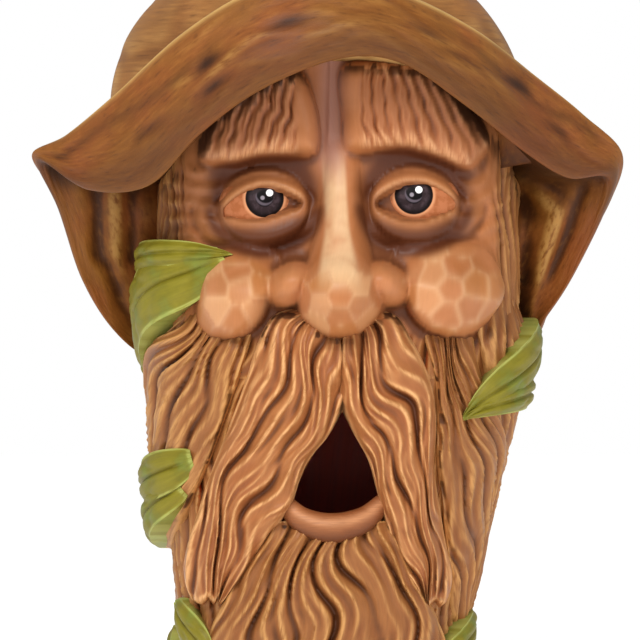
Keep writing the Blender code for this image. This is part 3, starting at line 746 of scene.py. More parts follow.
hair_pieces = []
for side, lines in MOUSTACHE.items():
    place, size = fall_of_hair(lines, 15, 5.4, 2.4, 2.0 if side == "left" else 5.0, tips=0.5)
    hair_pieces.append(slab("moustache_" + side, 100, 220, place, size))
for n, (name, lines) in enumerate(SIDE_FALLS.items()):
    place, size = fall_of_hair(lines, 7, 5.8, 2.0, 9.0 + n, swing=3.0, rises=True)
    hair_pieces.append(slab(name, 64, 150, place, size))
place, size = fall_of_hair(CHIN, 9, 6.8, 2.5, 15.0, swing=5, tips=0)
hair_pieces.append(slab("beard_chin", 130, 90, place, size))
print("hair", sum(len(p.data.polygons) for p in hair_pieces), "faces")

# %% [markdown]
# ## The lower lip
# The lip is a fat bent roll, thin at its corners, that makes the sill of the doorway. A curve with a round
# bevel is the quickest way to a roll that swells in the middle, and it is then turned into a mesh.

# %% Lip
LIP = [(-20, 89), (-13, 81.5), (-3, 77.3), (8, 77.3), (19, 81.5), (28, 90)]


def bent_roll(name, line, radius, lift, thin):
    spots = curve(line, 91)
    swell = np.sin(np.linspace(0, math.pi, len(spots)))
    _, depth = wrap(unroll(spots[:, 0], spots[:, 1]), spots[:, 1], lift - 7 * (1 - swell**0.5))
    places = to_metres(spots[:, 0], depth, spots[:, 1])
    data = bpy.data.curves.new(name, "CURVE")
    data.dimensions = "3D"
    data.bevel_depth = radius * MM
    data.bevel_resolution = 14
    data.use_fill_caps = True
    spline = data.splines.new("POLY")
    spline.points.add(len(places) - 1)
    for i, (point, spot) in enumerate(zip(spline.points, places)):
        point.co = (*spot, 1)
        point.radius = thin + (1 - thin) * math.sin(math.pi * i / (len(places) - 1)) ** 0.8
    piece = bpy.data.objects.new(name, data)
    bpy.context.scene.collection.objects.link(piece)
    only(piece)
    bpy.ops.object.convert(target="MESH")
    piece = bpy.context.object
    edit(piece, lambda: bpy.ops.mesh.remove_doubles(threshold=0.00001), face_outwards)
    return piece


lip = bent_roll("lower_lip", LIP, 7.2, 5.6, 0.5)
lip_points = points_of(lip) / MM
write_grain(lip, lip_points[:, 2] * 2, lip_points[:, 0])
print("lip", len(lip.data.polygons), "faces")

# %% [markdown]
# ## The hat's crown
# The crown is a ball, longer behind so that the flat back saws through it where it is still wide. Soft folds
# sag round its sides, and broad facets show where a chisel took the last shavings off. Bisect saws the back
# flat and fills the cut.

# %% Crown
CROWN_CENTRE = (-4, 82, 276.5)  # x, depth, z
CROWN_RADII = (101, 80, 89.5)
CROWN_REAR = 2.1  # how much longer the ball is behind


def saw_back(piece, inset):
    """Takes off what stands behind the flat back. The insets differ, so that no two backs coincide."""
    saw = {"plane_co": (0, (MID_DEPTH - inset) * MM, 0), "plane_no": (0, 1, 0)}
    edit(piece, lambda: bpy.ops.mesh.bisect(use_fill=True, clear_outer=True, **saw), face_outwards)


crown = begin_with(bpy.ops.mesh.primitive_uv_sphere_add, "hat_crown", segments=168, ring_count=96, radius=1)
ball = points_of(crown)
bearing = np.arctan2(ball[:, 0], -ball[:, 1])
chisel = np.random.default_rng(5).normal(size=(70, 3))
chisel /= np.linalg.norm(chisel, axis=1)[:, None]
facing = np.sort(ball @ chisel.T, axis=1)[:, -2:]
facet = 5.5 * (1 / np.maximum(facing[:, 1], 0.5) - 1.03) + 0.8 * bump(facing[:, 1] - facing[:, 0], 0.03)
sag = 2.2 * (1 - ball[:, 2] ** 2) * np.cos(5 * bearing + 2.5 * ball[:, 2]) * ease(ball[:, 2] * 3 + 1)
puff = sag - np.clip(facet, -2, 2) * ease(ball[:, 2] * 4 + 0.5)
crown_z = CROWN_CENTRE[2] + ball[:, 2] * np.where(ball[:, 2] > 0, CROWN_RADII[2] - 0.5 + 0.3 * puff, 40)
forward = -ball[:, 1] * (CROWN_RADII[1] + puff)
tucked = 0.08 + 0.92 * ease((crown_z - 248 - 46 * np.clip(np.cos(bearing), 0, 1)) / 14)
crown_depth = CROWN_CENTRE[1] + forward * np.where(forward > 0, tucked, CROWN_REAR)
# The foot of the crown is drawn in, to stay inside the trunk.
hidden = (1 - ease((crown_z - 254) / 12)) * ease(2 * np.cos(bearing) + 0.6)
crown_x = CROWN_CENTRE[0] + ball[:, 0] * (CROWN_RADII[0] + puff) * (1 - 0.16 * hidden)
move_points(crown, to_metres(crown_x, crown_depth, crown_z))
write_grain(crown, 60 * np.arccos(np.clip(ball[:, 2], -1, 1)), 70 * np.sin(bearing))
saw_back(crown, 0.3)
print("crown", len(crown.data.polygons), "faces")

# %% [markdown]
# ## The brim
# The brim starts as a torus. Nineteen stations round the hat give its crest and its edge, and each
# station's section is a loop of seven points: where it sits on the crown, crest, belly, edge, underside,
# neck and core. In front it rolls up into a band; past each tip it droops, and what shows there is its
# inner face, with upright folds. The folds and the scoops in the band are cut afterwards, in the front
# view.

# %% Brim
BRIM_CREST = [(-92, 182, 4), (-106, 200, 22), (-119, 222, 40), (-131, 244, 62), (-139, 258, 84),
              (-124, 267, 99), (-101, 285, 121), (-68, 313, 145), (-33, 333, 156), (4, 339, 158),
              (39, 330, 153), (72, 314, 139), (99, 295, 112), (122, 277, 98), (139, 259, 86),
              (136, 240, 64), (122, 215, 42), (110, 195, 24), (101, 178, 6)]
BRIM_EDGE = [(-86, 157, 26), (-105, 171, 42), (-120, 196, 56), (-129, 228, 70), (-138, 253, 89),
             (-116, 240, 110), (-86, 242, 131), (-60, 266, 156), (-31, 286, 171), (6, 300, 177),
             (35, 298, 171), (66, 279, 153), (97, 257, 124), (118, 246, 106), (138, 246, 91),
             (133, 225, 72), (120, 196, 58), (109, 178, 44), (99, 164, 28)]


def brim_sections():
    """Seven points of the brim's section at each station, as x, z and depth."""
    crest, edge = np.array(BRIM_CREST, float), np.array(BRIM_EDGE, float)
    bearing = np.arctan2(crest[:, 0] - CROWN_CENTRE[0], crest[:, 2] - CROWN_CENTRE[1])
    sin, cos = np.sin(bearing), np.cos(bearing)
    tip = bump(np.abs(crest[:, 0]) - 141, 12)
    neck_z = edge[:, 1] + 8 + 4 * np.clip(cos, 0, 1) - 16 * tip
    seat = np.maximum(neck_z + 12, crest[:, 1] - 24)
    rolled = np.stack([CROWN_CENTRE[0] + 90 * sin, seat, CROWN_CENTRE[1] + 72 * cos], 1)
    behind = (CROWN_CENTRE[1] - crest[:, 2]) / (CROWN_RADII[1] * CROWN_REAR)
    bonnet_x = CROWN_CENTRE[0] + np.sign(sin) * 98 * np.sqrt(1 - behind**2)
    bonnet = np.stack([bonnet_x, 0 * sin + 263, crest[:, 2]], 1)
    top = np.where((crest[:, 2] < CROWN_CENTRE[1])[:, None], bonnet, rolled)
    belly = (crest + edge) / 2 + np.stack([3 * sin, np.zeros_like(sin), 7 * np.clip(cos, 0, 1) + 1], 1)
    neck_d = np.where(cos > 0, WIDEST_DEPTH + 64 * cos, edge[:, 2] - 16)
    neck = np.stack([4 + 84 * sin, neck_z, neck_d], 1)
    under = edge + (neck - edge) * 0.2
    core = (top + neck) / 2 * np.array([0.75, 1, 0.9])
    return [top, crest, belly, edge, under, neck, core]


def close_behind(line):
    """Carries the line on behind the sawn back, so that it closes into a ring."""
    first, last = line[0] - [0, 8, 45], line[-1] - [0, 8, 45]
    first[0], last[0] = first[0] * 0.6, last[0] * 0.6
    return np.vstack([[first], line, [last]])


def brim_point(round_it, section):
    lines = [close_behind(line) for line in brim_sections()]
    stations = len(lines[0])
    k = np.floor(round_it * stations).astype(int)
    f = (round_it * stations - k)[:, None]
    knots = np.array([blend_four(*(line[(k + i) % stations] for i in (-1, 0, 1, 2)), f) for line in lines])
    count = len(knots)
    j = np.floor(section * count).astype(int) % count
    g = (section * count - np.floor(section * count))[:, None]
    rows = np.arange(len(j))
    point = blend_four(*(knots[(j + i) % count, rows] for i in (-1, 0, 1, 2)), g)
    return point[:, 0], point[:, 2], point[:, 1]


SCOOPS = [  # x, z, half length, half width, lean in degrees, depth
    (-56.6, 298, 15, 3.6, 42, 2.6), (-53.7, 287, 15, 3.0, 38, 2.0), (-17.7, 317, 20, 4.2, 15, 2.6),
    (91, 290, 17, 3.8, -36, 2.6), (47, 313, 16, 3.0, -24, 1.2), (-84, 268, 16, 3.0, 34, 1.4),
    (66, 300, 22, 2.6, -28, 1.2), (-30, 306, 24, 2.6, 22, 1.2), (112, 268, 18, 3.0, -40, 1.6),
]
FOLDS = [  # line in the front view, half width, height: ridges come forward and grooves go back
    ([(-112, 250), (-112, 208)], 3.4, -2.4), ([(-95.5, 248), (-96, 206)], 3.0, -2.2),
    ([(-104, 244), (-103, 200)], 3.4, 1.4), ([(-107, 204), (-101, 184), (-90, 164)], 3.0, -2.2),
    ([(-122, 244), (-118, 208), (-104, 176)], 3.6, 1.2),
    ([(125.5, 240), (116, 212), (106, 191), (102, 168)], 3.0, -2.6),
    ([(76, 263), (86, 254), (97, 244), (108, 235), (112.5, 229), (107, 205), (102, 176)], 4.4, 4.5),
    ([(99, 243), (98, 196)], 3.0, -1.8),
]

brim = begin_with(
    bpy.ops.mesh.primitive_torus_add,
    "hat_brim", major_segments=480, minor_segments=118, major_radius=1, minor_radius=0.25,
)
ring = points_of(brim)
round_it = np.arctan2(ring[:, 1], ring[:, 0]) / (2 * math.pi) % 1
section = np.arctan2(ring[:, 2], np.hypot(ring[:, 0], ring[:, 1]) - 1) / (2 * math.pi) % 1
bx, bd, bz = brim_point(round_it, section)
knot = section * 7  # 0 to 7 round the section: 1 is the crest, 2 the belly and 3 the edge
band = ease((knot - 1.05) / 0.3) * ease((3.0 - knot) / 0.35) * ease((bd - 90) / 14)
inner_face = ease((knot - 2.9) / 0.25) * ease((5.4 - knot) / 0.4) * ease((104 - bd) / 14)
run = round_it * 60
furrow = knot - 1.7 - 0.12 * np.sin(run * 0.9)
cut = -1.6 * bump(furrow, 0.26) * band
cut += 1.1 * bump(knot - 1.08, 0.1) * ease((bd - 90) / 14)
for steps, turns, size in ((9, 0.7, 0.34), (15, 1.3, 0.22), (25, 2.1, 0.15)):
    cut += size * (band + 0.5 * inner_face) * np.sin(knot * steps + 2.6 * np.sin(run * turns) + turns * 5)
# A mask of the scoops, which the paint darkens as painted shade.
scooped = 0 * cut
for sx, sz, long, wide, lean, deep in SCOOPS:
    angle = math.radians(lean)
    along = (bx - sx) * math.cos(angle) + (bz - sz) * math.sin(angle)
    over = -(bx - sx) * math.sin(angle) + (bz - sz) * math.cos(angle)
    over = over + 0.012 * along**2
    cut -= deep * bump(along, long * 0.62) * bump(over, wide) * band
    scooped = np.maximum(scooped, deep / 2.6 * bump(along, long * 0.55) * bump(over, wide * 0.8) * band)
for line, wide, high in FOLDS:
    cut += high * bump(distance_to(bx, bz, line), wide) * inner_face
move_points(brim, to_metres(bx, bd + cut * 0.9, bz + cut * 0.2 * band))
write_grain(brim, np.abs((section - 0.2) * 150), round_it * 900)
long_groove = 0.45 * bump(furrow, 0.1) * band * ease(np.sin(run * 0.35 + 1) + 0.5)
brim_masks = {
    # The crest's pale line: dry brush, and partly a painted highlight.
    "rim": bump(knot - 1.06, 0.13) * ease((bd - 60) / 30),
    # Painted shade: darker towards the band's lower edge.
    "under_edge": bump(knot - 2.7, 0.5) * ease((bd - 60) / 20),
    # Painted shade in the scoops and along the long groove.
    "scooped": np.maximum(scooped, long_groove),
    # Painted shadow under the brim, on the droop's inner face beside the face.
    "underside": ease((knot - 3.1) / 0.5) * ease((6.2 - knot) / 0.4) * ease((bz - 236) / 14),
}
for name, mask in brim_masks.items():
    write_number(brim, name, mask)
edit(brim, face_outwards)
saw_back(brim, 0.9)
print("brim", len(brim.data.polygons), "faces")

# %% [markdown]
# ## Leaves
# The leaves are slabs too, pointed at both ends and folded along the midrib, with a fine groove for the rib
# and finer ones for the side veins. They hug the trunk, so they start flat and are carried round it.

# %% Leaves
LEAVES = {  # base, tip, width, bow of the midrib, and the lift off the trunk where it isn't the usual one
    "cheek_top": ((-86, 201), (-45, 208), 14, 4),
    "cheek_low": ((-49, 206), (-88, 148), 31, -11),
    "cheek_side": ((-70, 206), (-98, 176), 20, 4),
    "beard_left_top": ((-64, 109), (-87, 92), 22, 3),
    "beard_left_low": ((-67, 95), (-76, 64), 18, -2),
    "beard_right_top": ((108, 172), (65, 128), 26, -7),
    "beard_right_low": ((99, 141), (65, 129), 15, -5),
    "foot_left": ((-70, 38), (-52, 2), 18, 3, 9),
    "foot_left_back": ((-76, 24), (-66, 2), 12, -2, 8),
    "foot_right": ((70, 31), (48, 4), 16, -4, 10),
    "foot_right_back": ((76, 20), (66, 2), 12, 2, 8),
}


def leaf_place(base, tip, width, bow, lift=15.0, back=-3.0):
    base_u, tip_u = unroll(base[0], base[1]), unroll(tip[0], tip[1])
    run = np.array([tip_u - base_u, tip[1] - base[1]], float)
    length = np.hypot(*run)
    side = np.array([-run[1], run[0]]) / length

    def place(across, along, layer):
        half = width / 2 * np.sin(math.pi * np.clip(0.06 + 0.94 * along, 0, 1) ** 0.8) ** 0.75 + 0.25
        from_rib = 2 * across - 1
        off = from_rib * half + bow * np.sin(math.pi * along)
        u = base_u + run[0] * along + side[0] * off
        z = base[1] + run[1] * along + side[1] * off
        rib = 1 - np.abs(from_rib)
        body = lift * (0.55 + 0.45 * np.sin(math.pi * along)) - 2.4 * ease(1 - rib * 1.8)
        body = body - 1.8 * bump(from_rib * half, 1.0) * ease(along * 6)
        vein = np.abs(from_rib) * half * 1.2 - along * length
        swell = 0.5 + 0.5 * np.cos(2 * math.pi * vein / 17)
        body = body - 0.7 * swell**4 * ease(np.abs(from_rib) * 3) * ease(rib * 3)
        x, depth = wrap(u, z, np.where(layer > 0.5, back, body))
        return x, depth, z

    return place, (width, length)


leaves = [slab("leaf_" + name, 34, 56, *leaf_place(*shape)) for name, shape in LEAVES.items()]
print("leaves", sum(len(p.data.polygons) for p in leaves), "faces")

# %% [markdown]
# ## Eyeballs
# Behind each slit sits an eyeball, wider than it is deep so that it fills the slit from corner to corner.
# It is a ball primitive whose points remember how far they are from the middle of the iris, in an attribute
# that the paint reads.

# %% Eyeballs
eyeballs = []
for side, (cx, cz) in EYE_CENTRES.items():
    eyeball = begin_with(
        bpy.ops.mesh.primitive_uv_sphere_add, "eyeball_" + side, segments=96, ring_count=72, radius=1
    )
    ball = points_of(eyeball)
    _, skin_depth = wrap(unroll(cx, cz), cz, 2.0)
    ex, ez = cx + 22 * ball[:, 0], cz + 17 * ball[:, 2]
    move_points(eyeball, to_metres(ex, skin_depth - 14.6 - 12.5 * ball[:, 1], ez))
    ix, iz = IRISES[side]
    write_place(eyeball, "gaze", ex - ix, ez - iz)
    edit(eyeball, face_outwards)
    eyeballs.append(eyeball)
print("eyeballs", [len(p.data.polygons) for p in eyeballs])

# %% [markdown]
# ## The nest room, the doorway and the keyhole
# A Boolean takes the room out of the trunk, the face and the crown with one cutter, so its walls run through
# all three. The doorway is a prism of the mouth's outline, and the keyhole a round hole with a slot above.
# The Boolean is the right tool here because the hollow really is cut through the same mass.

# %% Cutters
WALL, BACK_WALL, FLOOR, LOCK_DEPTH = 7, 8, 10, 3.4
ROOF = 366 - 2 * WALL  # the hat's top is at 366
ROOM_WIDE, ROOM_DEEP, ROOM_BOXINESS = 0.916, 0.888, 4.5  # shares of the trunk's inside, and how square
HEAD_HOLE, SLOT = (314, 5.5), (322.4, 2.6)  # height and radius of the keyhole's two ends
THROAT = 0.49  # how far round from its top, in radians, the round end opens into the slot
MOUTH = [(7, 136), (1, 122), (-7, 111), (-13, 99), (-16, 88), (-5, 81), (7, 80), (18, 82), (27, 92),
         (23, 106), (17, 117), (12, 127)]


def room_cutter():
    piece = ringed_cylinder("room_cutter", 72, 40)
    flat = points_of(piece)
    z = FLOOR + (ROOF - FLOOR) * np.sin((flat[:, 2] + 0.5) * math.pi / 2)
    bearing = np.arctan2(flat[:, 0], flat[:, 1])
    rise = (z - CROWN_CENTRE[2]) / (ROOF + 1 - CROWN_CENTRE[2])
    dome_scale = np.sqrt(1 - np.clip(rise, 0, 1) ** 2)
    trunk_x = half_width(z) - WALL - LOCK_DEPTH
    half_x = trunk_x + ((CROWN_RADII[0] - WALL - 5) * dome_scale - trunk_x) * ease((z - 262) / 30)
    half_d = (front_depth(z) - WALL - LOCK_DEPTH - BACK_WALL) / 2 * (0.2 + 0.8 * dome_scale)
    sin, cos = np.sin(bearing), np.cos(bearing)
    power = 2 / ROOM_BOXINESS
    x = centre_line(z) + ROOM_WIDE * half_x * np.sign(sin) * np.abs(sin) ** power
    depth = BACK_WALL + half_d + ROOM_DEEP * half_d * np.sign(cos) * np.abs(cos) ** power
    move_points(piece, to_metres(x, depth, z))
    edit(piece, face_outwards)
    return piece


def prism_cutter(name, line, near, far):
    """A flat outline in the front view, pushed through from one depth to another."""
    circle = bpy.ops.mesh.primitive_circle_add
    piece = begin_with(circle, name, vertices=len(line), radius=1, fill_type="NGON")
    line = np.array(line)
    move_points(piece, to_metres(line[:, 0], near, line[:, 1]))
    push = {"value": (0, (near - far) * MM, 0)}
    edit(piece, lambda: bpy.ops.mesh.extrude_region_move(TRANSFORM_OT_translate=push), face_outwards)
    return piece


def cut_out(piece, cutter):
    modifier = piece.modifiers.new("cut", "BOOLEAN")
    modifier.operation = "DIFFERENCE"
    modifier.solver = "EXACT"
    modifier.object = cutter
    apply_modifier(piece, "cut")


saw_back(face, 0.6)
saw_back(trunk, 0.0)
head_turns, slot_turns = np.linspace(THROAT, 2 * math.pi - THROAT, 33), np.linspace(math.pi, 0, 13)
keyhole = [(HEAD_HOLE[1] * math.sin(a), HEAD_HOLE[0] + HEAD_HOLE[1] * math.cos(a)) for a in head_turns]
keyhole += [(SLOT[1] * math.cos(a), SLOT[0] + SLOT[1] * math.sin(a)) for a in slot_turns]
room = room_cutter()
door = prism_cutter("door_cutter", curve(MOUTH, 60, closed=True), 200, 60)
hang = prism_cutter("keyhole_cutter", keyhole, 14, -8)
cut_out(trunk, room)
cut_out(trunk, door)
cut_out(face, room)
cut_out(crown, room)
cut_out(crown, hang)
for cutter in (room, door, hang):
    bpy.data.objects.remove(cutter)
print("after cutting: face", len(face.data.polygons), "trunk", len(trunk.data.polygons))

# %% [markdown]
# ## Where paint gathers, where it wears, and where shade is painted
# The painter washes dark paint into every cut and then drags a nearly dry brush over the crests; the dark
# wash in the cuts also paints their shade. To know where those are, each piece is compared with a smoothed
# copy of itself: a point that stands out from the copy is a crest, and one that lies behind it is in a cut.
# Places shaded by larger forms, such as under the brim, are found by sending a few rays out from them
# towards the solid, and are given painted shade.

# %% Crest, cut and painted shade from the sky
pieces = [face, trunk, *hair_pieces, lip, crown, brim, *leaves, *eyeballs]
solid = next(o for o in bpy.data.objects if o.name.startswith("birdhouse_casting"))
solid_points = np.array([solid.matrix_world @ v.co for v in solid.data.vertices])
solid_faces = [tuple(p.vertices) for p in solid.data.polygons]
solid_tree = BVHTree.FromPolygons([Vector(p) for p in solid_points], solid_faces)
RAY_COUNT = 22
RAY_START, RAY_REACH = 0.0028, 0.045  # m off the skin
CELL = 0.003  # m
GOLDEN_TURN = 2.39996
spin = np.arange(RAY_COUNT)
up_share = np.sqrt(1 - (spin + 0.5) / RAY_COUNT)
level_share = np.sqrt(1 - up_share**2)
RAYS = np.stack(
    [level_share * np.cos(spin * GOLDEN_TURN), level_share * np.sin(spin * GOLDEN_TURN), up_share], 1
)


def neighbours_mean(values, edges, count):
    total = np.zeros_like(values)
    for i in range(values.shape[1]):
        total[:, i] = np.bincount(edges[:, 0], values[edges[:, 1], i], count)
        total[:, i] += np.bincount(edges[:, 1], values[edges[:, 0], i], count)
    links = np.bincount(edges.ravel(), minlength=count)[:, None]
    return total / np.maximum(links, 1)


def stand_out(points, normals, edges, reach, most):
    """How far each point stands out from a copy smoothed over that many mm, in mm."""
    spacing = np.median(np.linalg.norm(points[edges[:, 0]] - points[edges[:, 1]], axis=1)) / MM
    smooth = points.copy()
    for _ in range(int(np.clip(2 * (reach / spacing) ** 2, 3, most))):
        smooth = (smooth + neighbours_mean(smooth, edges, len(points))) / 2
    height = ((points - smooth) * normals).sum(1)[:, None] / MM
    for _ in range(4):
        height = (height + neighbours_mean(height, edges, len(points))) / 2
    return height[:, 0]


def sky_shade_at(points, normals):
    """How much sky over each point the solid hides, for painted shade, worked out once for each small cell.
    """
    cells = np.floor(points / CELL).astype(int)
    facing = np.round(normals).astype(int)
    _, first, which = np.unique(np.hstack([cells, facing]), axis=0, return_index=True, return_inverse=True)
    hidden = np.zeros(len(first))
    for n, i in enumerate(first):
        normal = Vector(normals[i])
        side = normal.orthogonal().normalized()
        other = normal.cross(side)
        start = Vector(points[i]) + normal * RAY_START
        for a, b, c in RAYS:
            way = side * a + other * b + normal * c
            place, hit_normal, _, distance = solid_tree.ray_cast(start, way, RAY_REACH)
            if place is not None and hit_normal.dot(way) < 0:
                hidden[n] += 1 - distance / RAY_REACH
    return (hidden / len(RAYS))[which.ravel()]


for piece in pieces:
    mesh = piece.data
    count = len(mesh.vertices)
    edges = read(mesh.edges, "vertices", 2, int)
    normals = read(mesh.vertex_normals, "vector", 3)
    points = points_of(piece)
    fine, broad = stand_out(points, normals, edges, 1.5, 40), stand_out(points, normals, edges, 4.5, 120)
    sawn = points[:, 1] > (MID_DEPTH - 1) * MM  # the flat back stays plain
    fine[sawn], broad[sawn] = 0, 0
    write_number(piece, "fine", fine)
    write_number(piece, "broad", broad)
    if piece == face:
        for name in ("facet_line", "facet_tint", "eye_wash", "browed"):
            kept = read(mesh.attributes[name].data, "value")
            for _ in range(2):
                kept = (kept + neighbours_mean(kept, edges, count)) / 2
            mesh.attributes[name].data.foreach_set("value", kept.ravel())
    outwards = points * (1, 1, 0)
    outwards /= np.maximum(np.linalg.norm(outwards, axis=1), 1e-6)[:, None]
    inward = ease(-1.5 * (normals * outwards).sum(1) - 0.4)
    write_number(piece, "looks_in", (piece in (face, trunk)) * inward)
    # A painted highlight where the lip faces up and forwards, and painted shade where it turns under.
    if piece == lip:
        write_number(piece, "lip_highlight", bump(normals[:, 2] - 0.4, 0.3) * ease(-normals[:, 1] * 3))
        write_number(piece, "lip_underside_shade", ease(-normals[:, 2] / 0.9 + 0.1))
    # Painted shade where the solid hides the sky above a point.
    painted_sky_shade = sky_shade_at(points, normals)
    painted_sky_shade = (painted_sky_shade + neighbours_mean(painted_sky_shade[:, None], edges, count)[:, 0]) / 2
    write_number(piece, "painted_sky_shade", np.where(sawn, 0.1, painted_sky_shade))
    only(piece)
    bpy.ops.object.shade_smooth_by_angle(angle=math.radians(75))
    print(piece.name, count, "points; they stand out by", np.percentile(fine, [5, 50, 95]).round(2), "mm")
print("painted masks on", len(pieces), "pieces,", sum(len(p.data.polygons) for p in pieces), "faces")

# %% [markdown]
# ## Paint
# Every finish is built the same way, much as the real one is: a base colour that drifts a little, dark wash
# in the cuts, which also paints their shade, painted shade where larger forms hide the sky, and pale dry
# brush on the crests, broken up by the brush's streaks. The streaks are a noise stretched along the grain
# that each piece carries, and the patches a noise on Object coordinates. Bump from a fine noise gives the
# cast skin its tooth.

# %% Paint
def rgb(red, green, blue):
    """A colour as a painter reads it off a screen, turned to the linear values that Blender mixes."""
    values = np.array([red, green, blue]) / 255
    linear = np.where(values <= 0.04045, values / 12.92, ((values + 0.055) / 1.055) ** 2.4)
    return (*linear.tolist(), 1)


class Paint:
    """A material with short words for the nodes that it needs."""

    def __init__(self, name):
        self.material = bpy.data.materials.new(name)
        self.material.use_nodes = True
        self.tree = self.material.node_tree
        self.shader = self.tree.nodes["Principled BSDF"]
        self.place = self.node("TexCoord", {}).outputs["Object"]

    def node(self, kind, inputs, **settings):
        """A new node: its settings come first, and each input then gets its value or its link."""
        node = self.tree.nodes.new("ShaderNode" + kind)
        for name, value in settings.items():
            setattr(node, name, value)
        for socket, value in inputs.items():
            self.feed(node.inputs[socket], value)
        return node

    def feed(self, socket, value):
        if isinstance(value, bpy.types.NodeSocket):
            self.tree.links.new(value, socket)
        else:
            socket.default_value = value

    def carried(self, name):
        """The node that reads what a piece's points carry under that name."""
        return self.node("Attribute", {}, attribute_name=name)

    def number(self, name):
        return self.carried(name).outputs["Fac"]

    def span(self, value, low, high):
        """0 at low, 1 at high, and a smooth step between them."""
        inputs = {"Value": value, "From Min": min(low, high), "From Max": max(low, high)}
        inputs.update({"To Min": 0 if low < high else 1, "To Max": 1 if low < high else 0})
        return self.node("MapRange", inputs, interpolation_type="SMOOTHSTEP").outputs["Result"]

    def maths(self, kind, *values):
        return self.node("Math", dict(enumerate(values)), operation=kind).outputs[0]

    def times(self, a, b):
        return self.maths("MULTIPLY", a, b)

    def line(self, value, steep, level):
        """steep times the value, and level added."""
        return self.maths("MULTIPLY_ADD", value, steep, level)

    def noise(self, scale, detail=4.0, place=None):
        inputs = {"Scale": scale, "Detail": detail, "Roughness": 0.55, "Vector": place or self.place}
        return self.node("TexNoise", inputs).outputs["Fac"]

    def mix(self, share, a, b):
        return self.node("Mix", {"Factor": share, "A": a, "B": b}, data_type="RGBA").outputs["Result"]

    def wash(self, colour, mask, share, tone):
        """Lays a tone over the colour where the mask says, and at most by that share."""
        mask = self.number(mask) if isinstance(mask, str) else mask
        return self.mix(self.times(mask, share), colour, tone)

    def bump(self, height, strength):
        node = self.node("Bump", {"Strength": strength, "Distance": 0.0006, "Height": height})
        self.feed(self.shader.inputs["Normal"], node.outputs["Normal"])


ROOM_RED = rgb(176, 44, 2)  # the inside of the nest room, where daylight reaches it


def washed_and_brushed(paint, six, cut_at=(0.02, -0.4), broad_at=(-0.1, -1.3), sky_shade_at=(0.22, 0.7),
                       crest_at=(0.0, 0.34), ochre_share=0.8, pale_share=0.7):
    """The colour of one finish: six tones laid over each other in the painter's order."""
    fine, broad, painted_sky_shade = (paint.number(name) for name in ("fine", "broad", "painted_sky_shade"))
    colour = paint.mix(paint.span(paint.patches, 0.38, 0.62), six["base"], six["second"])
    ochre = paint.times(paint.span(fine, -0.1, crest_at[1]), ochre_share)
    colour = paint.mix(paint.times(ochre, paint.span(paint.patches, 0.25, 0.6)), colour, six["ochre"])
    # Dark wash in the cuts and in broader hollows: partly the real paint's wash, and partly painted shade.
    colour = paint.wash(colour, paint.span(fine, *cut_at), 0.85, six["dark"])
    colour = paint.wash(colour, paint.span(broad, *broad_at), 0.75, six["dark"])
    crest = paint.times(paint.span(fine, *crest_at), paint.span(paint.streaks, 0.34, 0.56))
    crest = paint.times(crest, paint.span(painted_sky_shade, 0.7, 0.3))
    colour = paint.wash(colour, crest, pale_share, six["pale"])
    # Painted shade, in the deep tone, where the solid hides the sky.
    sky_shaded = paint.maths("ADD", painted_sky_shade, paint.times(paint.patches, 0.06))
    colour = paint.wash(colour, paint.span(sky_shaded, *sky_shade_at), 0.9, six["deep"])
    return paint.mix(paint.number("looks_in"), colour, ROOM_RED)


def begin(name, patch_size=38):
    """A new paint with its brush streaks, which follow the grain, and its patches."""
    paint = Paint(name)
    paint.streaks = paint.noise(0.75, place=paint.carried("grain").outputs["Vector"])
    paint.patches = paint.noise(patch_size, detail=3)
    return paint


def lay_on(paint, colour, roughness=0.4, tooth=0.3, drift=0.5):
    """Lays the colour on: the streaks change its tone, its roughness and its tooth a little."""
    strength = paint.line(paint.streaks, drift, 1 - drift / 2)
    tone = paint.node("VectorMath", {0: colour, "Scale": strength}, operation="SCALE")
    paint.feed(paint.shader.inputs["Base Color"], tone.outputs["Vector"])
    paint.feed(paint.shader.inputs["Roughness"], paint.line(paint.streaks, 0.3, roughness - 0.12))
    paint.shader.inputs["Specular IOR Level"].default_value = 0.22
    grit = paint.noise(1300, detail=2)
    paint.bump(paint.maths("ADD", paint.streaks, paint.times(grit, 0.5)), tooth)
    return paint


def tones(*six):
    return {name: rgb(*tone) for name, tone in zip(("base", "second", "dark", "deep", "ochre", "pale"), six)}


# Of the six tones, dark is the wash in the cuts, which also paints their shade, and deep is painted shade.
HAIR = tones((160, 100, 56), (148, 86, 46), (80, 42, 22), (56, 30, 18), (194, 138, 84), (222, 168, 112))
BEARD = tones((144, 90, 48), (132, 78, 40), (70, 36, 16), (52, 26, 12), (178, 124, 68), (204, 152, 92))
SKIN = tones((176, 112, 70), (166, 102, 58), (90, 48, 28), (58, 30, 18), (202, 148, 98), (228, 182, 134))
BROW = tones((166, 102, 62), (154, 90, 52), (94, 50, 28), (56, 30, 18), (190, 130, 86), (228, 172, 122))
LIP_SKIN = tones((142, 86, 50), (130, 74, 40), (84, 42, 22), (58, 30, 18), (190, 130, 88), (226, 172, 134))
HAT = tones((124, 66, 26), (112, 64, 18), (64, 32, 10), (38, 18, 6), (150, 98, 40), (188, 146, 80))
CROWN = tones((140, 90, 44), (104, 60, 28), (70, 38, 16), (48, 28, 14), (172, 124, 66), (210, 170, 108))
LEAF = tones((124, 114, 28), (110, 102, 20), (74, 62, 8), (54, 44, 8), (142, 140, 54), (176, 180, 100))

# %% Hair, beard and lip
hair_paint = begin("moustache_paint")
lay_on(hair_paint, washed_and_brushed(hair_paint, HAIR))
beard_paint = begin("beard_paint")
lay_on(beard_paint, washed_and_brushed(beard_paint, BEARD))
lip_paint = begin("lip_paint")
lip_colour = washed_and_brushed(lip_paint, LIP_SKIN, crest_at=(3, 4), ochre_share=0)
